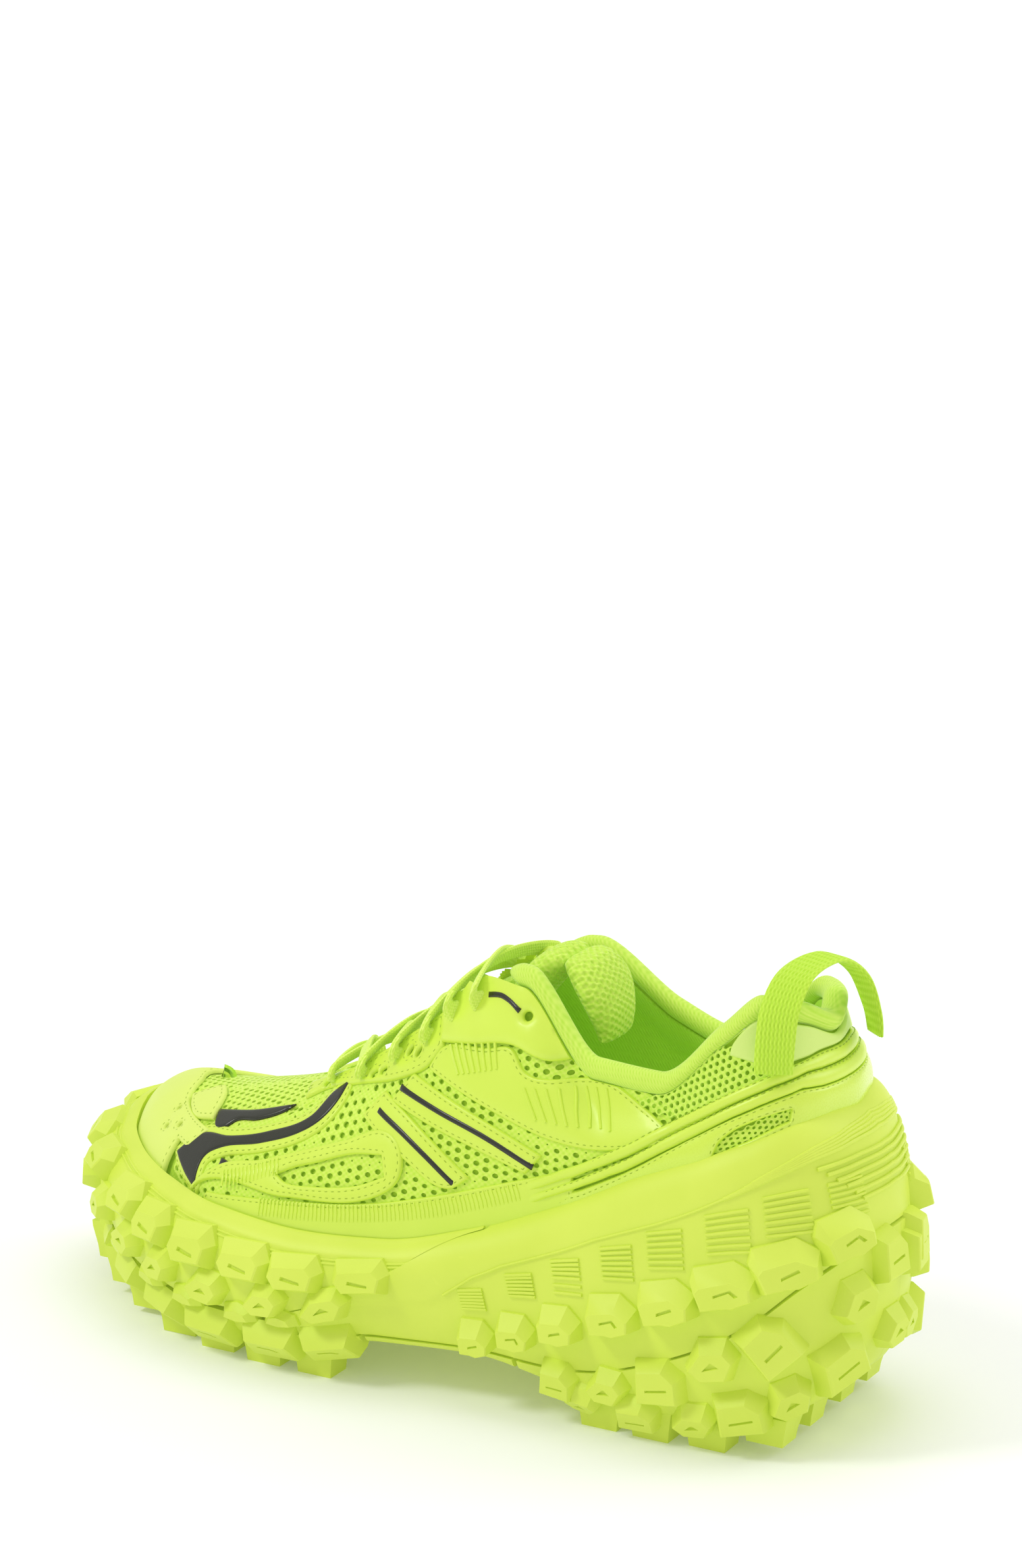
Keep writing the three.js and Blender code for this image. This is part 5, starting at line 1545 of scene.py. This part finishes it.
front_pad, front_path = pad_start("front_pad",
                                  [(19, 2, 127), (22, 2, 135), (27, 2, 142), (33, 2, 147.5), (38, 2, 149)],
                                  16.5, 5.6)
fold_pad, fold_path = pad_start("fold_pad",
                                [(38, 2, 149), (44, 2, 146), (49, 2, 139), (52, 2, 130), (53, 2, 121)],
                                16.0, 5.8)
for label, pad, path in (("tongue_top_front", front_pad, front_path),
                         ("tongue_top_fold", fold_pad, fold_path)):
    soft = with_dents(label, swollen(pad, 2.2, 4.0, 2.5), path)
    keep(soft, "tongue_flap", ["tongue_top"])

EYELETS = [4.62, 5.15, 5.66, 6.14, 6.58, 6.98]
LACE_WIDTH, LACE_THICK = 6.8, 1.5


def lace_run(start, end, hump):
    lift = lambda t: 6.0 if min(t, TURN - t) > 6.5 else 4.2
    a = raised(upper, start, 0.93, lift(start))
    b = raised(upper, end, 0.93, lift(end))
    a_low = raised(upper, start, 0.86, 1.2)
    b_low = raised(upper, end, 0.86, 1.2)
    near = lambda t: min(t, TURN - t)
    crest = upper((near(start) + near(end)) / 2, 1.0)
    mid = (a + b) / 2
    mid[2] = max(mid[2], crest[2] + 4.0) + hump
    knots = np.array([a_low, a, mid, b, b_low])
    out = []
    for i in range(4):
        p0, p1, p2, p3 = knots[max(i - 1, 0)], knots[i], knots[i + 1], knots[min(i + 2, 4)]
        for f in np.linspace(0, 1, 12, endpoint=i == 3):
            out.append(0.5 * (2 * p1 + (p2 - p0) * f + (2 * p0 - 5 * p1 + 4 * p2 - p3) * f * f
                              + (3 * p1 - p0 - 3 * p2 + p3) * f ** 3))
    return np.array(out)


def flat_section(width, thick, ripples, ripple, count):
    u = np.linspace(-1, 1, count)
    edge = np.sqrt(np.clip(1 - np.abs(u) ** 6, 0, 1))
    top = thick / 2 * edge + ripple * np.cos(u * math.pi * ripples) * edge
    return np.vstack([np.column_stack([u * width / 2, top]),
                      np.column_stack([u * width / 2, -top])[::-1][1:-1]])


def swept(name, path, wide_of, section, finish):
    along = np.gradient(path, axis=0)
    along /= np.linalg.norm(along, axis=1, keepdims=True)
    travelled = np.concatenate([[0], np.cumsum(np.linalg.norm(np.diff(path, axis=0), axis=1))])
    sections, weave = [], []
    for k, p in enumerate(path):
        wide = wide_of(k, along[k])
        wide = wide - along[k] * wide.dot(along[k])
        wide /= np.linalg.norm(wide)
        n = np.cross(wide, along[k])
        sections.append(p + np.outer(section[:, 0], wide) + np.outer(section[:, 1], n))
        weave.append(np.column_stack([section[:, 0], np.zeros(len(section)),
                                      np.full(len(section), travelled[k])]))
    sections = np.array(sections)
    rows, count = sections.shape[:2]
    mesh = bpy.data.meshes.new(name)
    mesh.from_pydata(((sections.reshape(-1, 3) + FRAME_SHIFT) * MM).tolist(), [], ring_faces(rows, count))
    store(mesh, "weave", np.vstack(weave) * MM)
    obj = bpy.data.objects.new(name, mesh)
    scene.collection.objects.link(obj)
    tidy_mesh(obj)
    settle_shading(mesh, 60)
    mesh.materials.append(FINISH[finish])
    return obj


LACE_SECTION = flat_section(LACE_WIDTH, LACE_THICK, 5, 0.12, 19)
lace_parts = []
runs = [(EYELETS[0], TURN - EYELETS[0], 0.0)]
for i in range(len(EYELETS) - 1):
    over = 1.1 if i % 2 else -0.6
    runs.append((EYELETS[i], TURN - EYELETS[i + 1], over))
    runs.append((EYELETS[i + 1], TURN - EYELETS[i], 0.5 - over))
for k, (start, end, hump) in enumerate(runs):
    across = lambda i, along: np.cross(along, np.array([-0.83, 0, 0.55]))
    lace_parts.append(swept("lace_%d" % k, lace_run(start, end, hump), across, LACE_SECTION, "lace"))
keep(joined("flat_laces", lace_parts), SHOE, ["laces"])

LOOP_PATH = np.array([(130, -33.7, 132), (129.5, -31.7, 142), (129, -27.5, 152), (129.5, -19, 160.3),
                      (131.5, -8, 163.5),
                      (135, 2, 163), (140, 9.5, 156), (143.8, 12, 144), (145, 12.4, 135.5)])
LOOP_PATH[:, 2] -= 0.6


def spline(points, count):
    points = np.asarray(points, float)
    f = np.linspace(0, len(points) - 1, count)
    out = []
    for value in f:
        i = min(int(value), len(points) - 2)
        g = value - i
        p0, p1 = points[max(i - 1, 0)], points[i]
        p2, p3 = points[i + 1], points[min(i + 2, len(points) - 1)]
        out.append(0.5 * (2 * p1 + (p2 - p0) * g + (2 * p0 - 5 * p1 + 4 * p2 - p3) * g * g
                          + (3 * p1 - p0 - 3 * p2 + p3) * g ** 3))
    return np.array(out)


loop_path = spline(LOOP_PATH, 110)
loop_wide = lambda k, along: np.array([0.78, 0.62 * (1 - 2.2 * k / 109), 0.0])
loop = swept("heel_pull_webbing", loop_path, loop_wide, flat_section(13, 1.5, 10, 0.22, 61), "webbing")
keep(loop, "heel_loop", ["pull_loop"])


def liner_pad(name, start, end, count, node_name, body):
    sections = []
    for t in np.linspace(start, end, count):
        far = TURN - t
        low_z = float(min(at("rim", t), at("rim", far))) - 9 - 0.9 + 0.6
        by, by_far = float(at("rim_inset", t)) + 7.8, float(at("rim_inset", far)) + 7.8
        a, b = inset(t, by, low_z), inset(far, by_far, low_z)
        s = np.linspace(0, 1, 22)
        base = a[None] * (1 - s[:, None]) + b[None] * s[:, None]
        crown = 4.2 * np.clip(np.minimum(s, 1 - s) / 0.03, 0, 1) ** 0.5 + 1.0 * (2 * s - 1) ** 2
        top = base + np.column_stack([0 * s, 0 * s, crown])
        sections.append(np.vstack([base, top[::-1]]))
    pad = lofted(name, sections, "lining", angle=50)
    return keep(pad, body, [node_name])


liner_pad("sockliner_front_pad", 2 / 3, 28 / 3, 60, "sockliner_front", SHOE)
liner_pad("sockliner_heel_pad", 28 / 3 + 0.03, 13.9, 30, "sockliner_heel", "sockliner_tail")

# ---------- stitching ----------
keep(grown("seam_stitches", path_carrier("seams", seam_paths), STITCHES, "thread", 60, False))

# ---------- hidden inner pieces ----------
for label in ("midsole_foam", "lasting_board", "toe_puff", "heel_counter"):
    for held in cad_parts[label].material_slots:
        held.material = FINISH["foam"]

for shape in (UPPER_LUG, PENTAGON_LUG, RIM_KNOB, HEEL_LUG, HEEL_LUG_ANGLE, GROOVED_LUG, EDGE_BLOCK,
              TREAD_BLOCK):
    bpy.data.objects.remove(shape)

# ---------- floor, light and surroundings ----------
FLOOR_HALF = 14
FLOOR_COLOUR = (0.92, 0.92, 0.92, 1)
FLOOR_GLOW = {"From Min": 0.25, "From Max": 2.4, "To Min": 0.08, "To Max": 0.85}
SKY_STRENGTH = 0.62
SOFT_LIGHTS = {
    "key_softbox": ((-0.9, -1.0, 1.5), (0, 0, 0.05), 0.5, 11),
    "top_softbox": ((0.1, 0.3, 1.8), (0, 0, 0.05), 1.6, 8),
    "rim_softbox": ((1.2, 0.9, 1.0), (0, 0, 0.06), 0.9, 6),
}

floor_mesh = bpy.data.meshes.new("floor")
floor_corners = [(x * FLOOR_HALF, y * FLOOR_HALF, 0) for x, y in ((-1, -1), (1, -1), (1, 1), (-1, 1))]
floor_mesh.from_pydata(floor_corners, [], [(0, 1, 2, 3)])
floor = bpy.data.objects.new("floor", floor_mesh)
scene.collection.objects.link(floor)
floor_paint = bpy.data.materials.new("pale_floor")
floor_paint.use_nodes = True
floor_tree = floor_paint.node_tree
floor_shader = floor_tree.nodes["Principled BSDF"]
floor_shader.inputs["Base Color"].default_value = FLOOR_COLOUR
floor_shader.inputs["Roughness"].default_value = 0.9
floor_shader.inputs["Specular IOR Level"].default_value = 0.1
floor_shader.inputs["Emission Color"].default_value = (1, 1, 1, 1)
spot = floor_tree.nodes.new("ShaderNodeTexCoord")
reach = floor_tree.nodes.new("ShaderNodeVectorMath")
reach.operation = "LENGTH"
rising = floor_tree.nodes.new("ShaderNodeMapRange")
for socket, amount in FLOOR_GLOW.items():
    rising.inputs[socket].default_value = amount
floor_tree.links.new(spot.outputs["Object"], reach.inputs[0])
floor_tree.links.new(reach.outputs["Value"], rising.inputs["Value"])
floor_tree.links.new(rising.outputs["Result"], floor_shader.inputs["Emission Strength"])
floor_mesh.materials.append(floor_paint)

world = bpy.data.worlds.new("studio")
world.use_nodes = True
world.node_tree.nodes["Background"].inputs["Color"].default_value = (1, 1, 1, 1)
world.node_tree.nodes["Background"].inputs["Strength"].default_value = SKY_STRENGTH
scene.world = world


def soft_light(name, place, aim, size, power):
    light = bpy.data.objects.new(name, bpy.data.lights.new(name, "AREA"))
    light.data.shape = "DISK"
    light.data.size = size
    light.data.energy = power
    light.location = place
    light.rotation_euler = (Vector(aim) - Vector(place)).to_track_quat("-Z", "Y").to_euler()
    scene.collection.objects.link(light)
    return light


for label, settings in SOFT_LIGHTS.items():
    soft_light(label, *settings)
scene.view_settings.view_transform = "Standard"
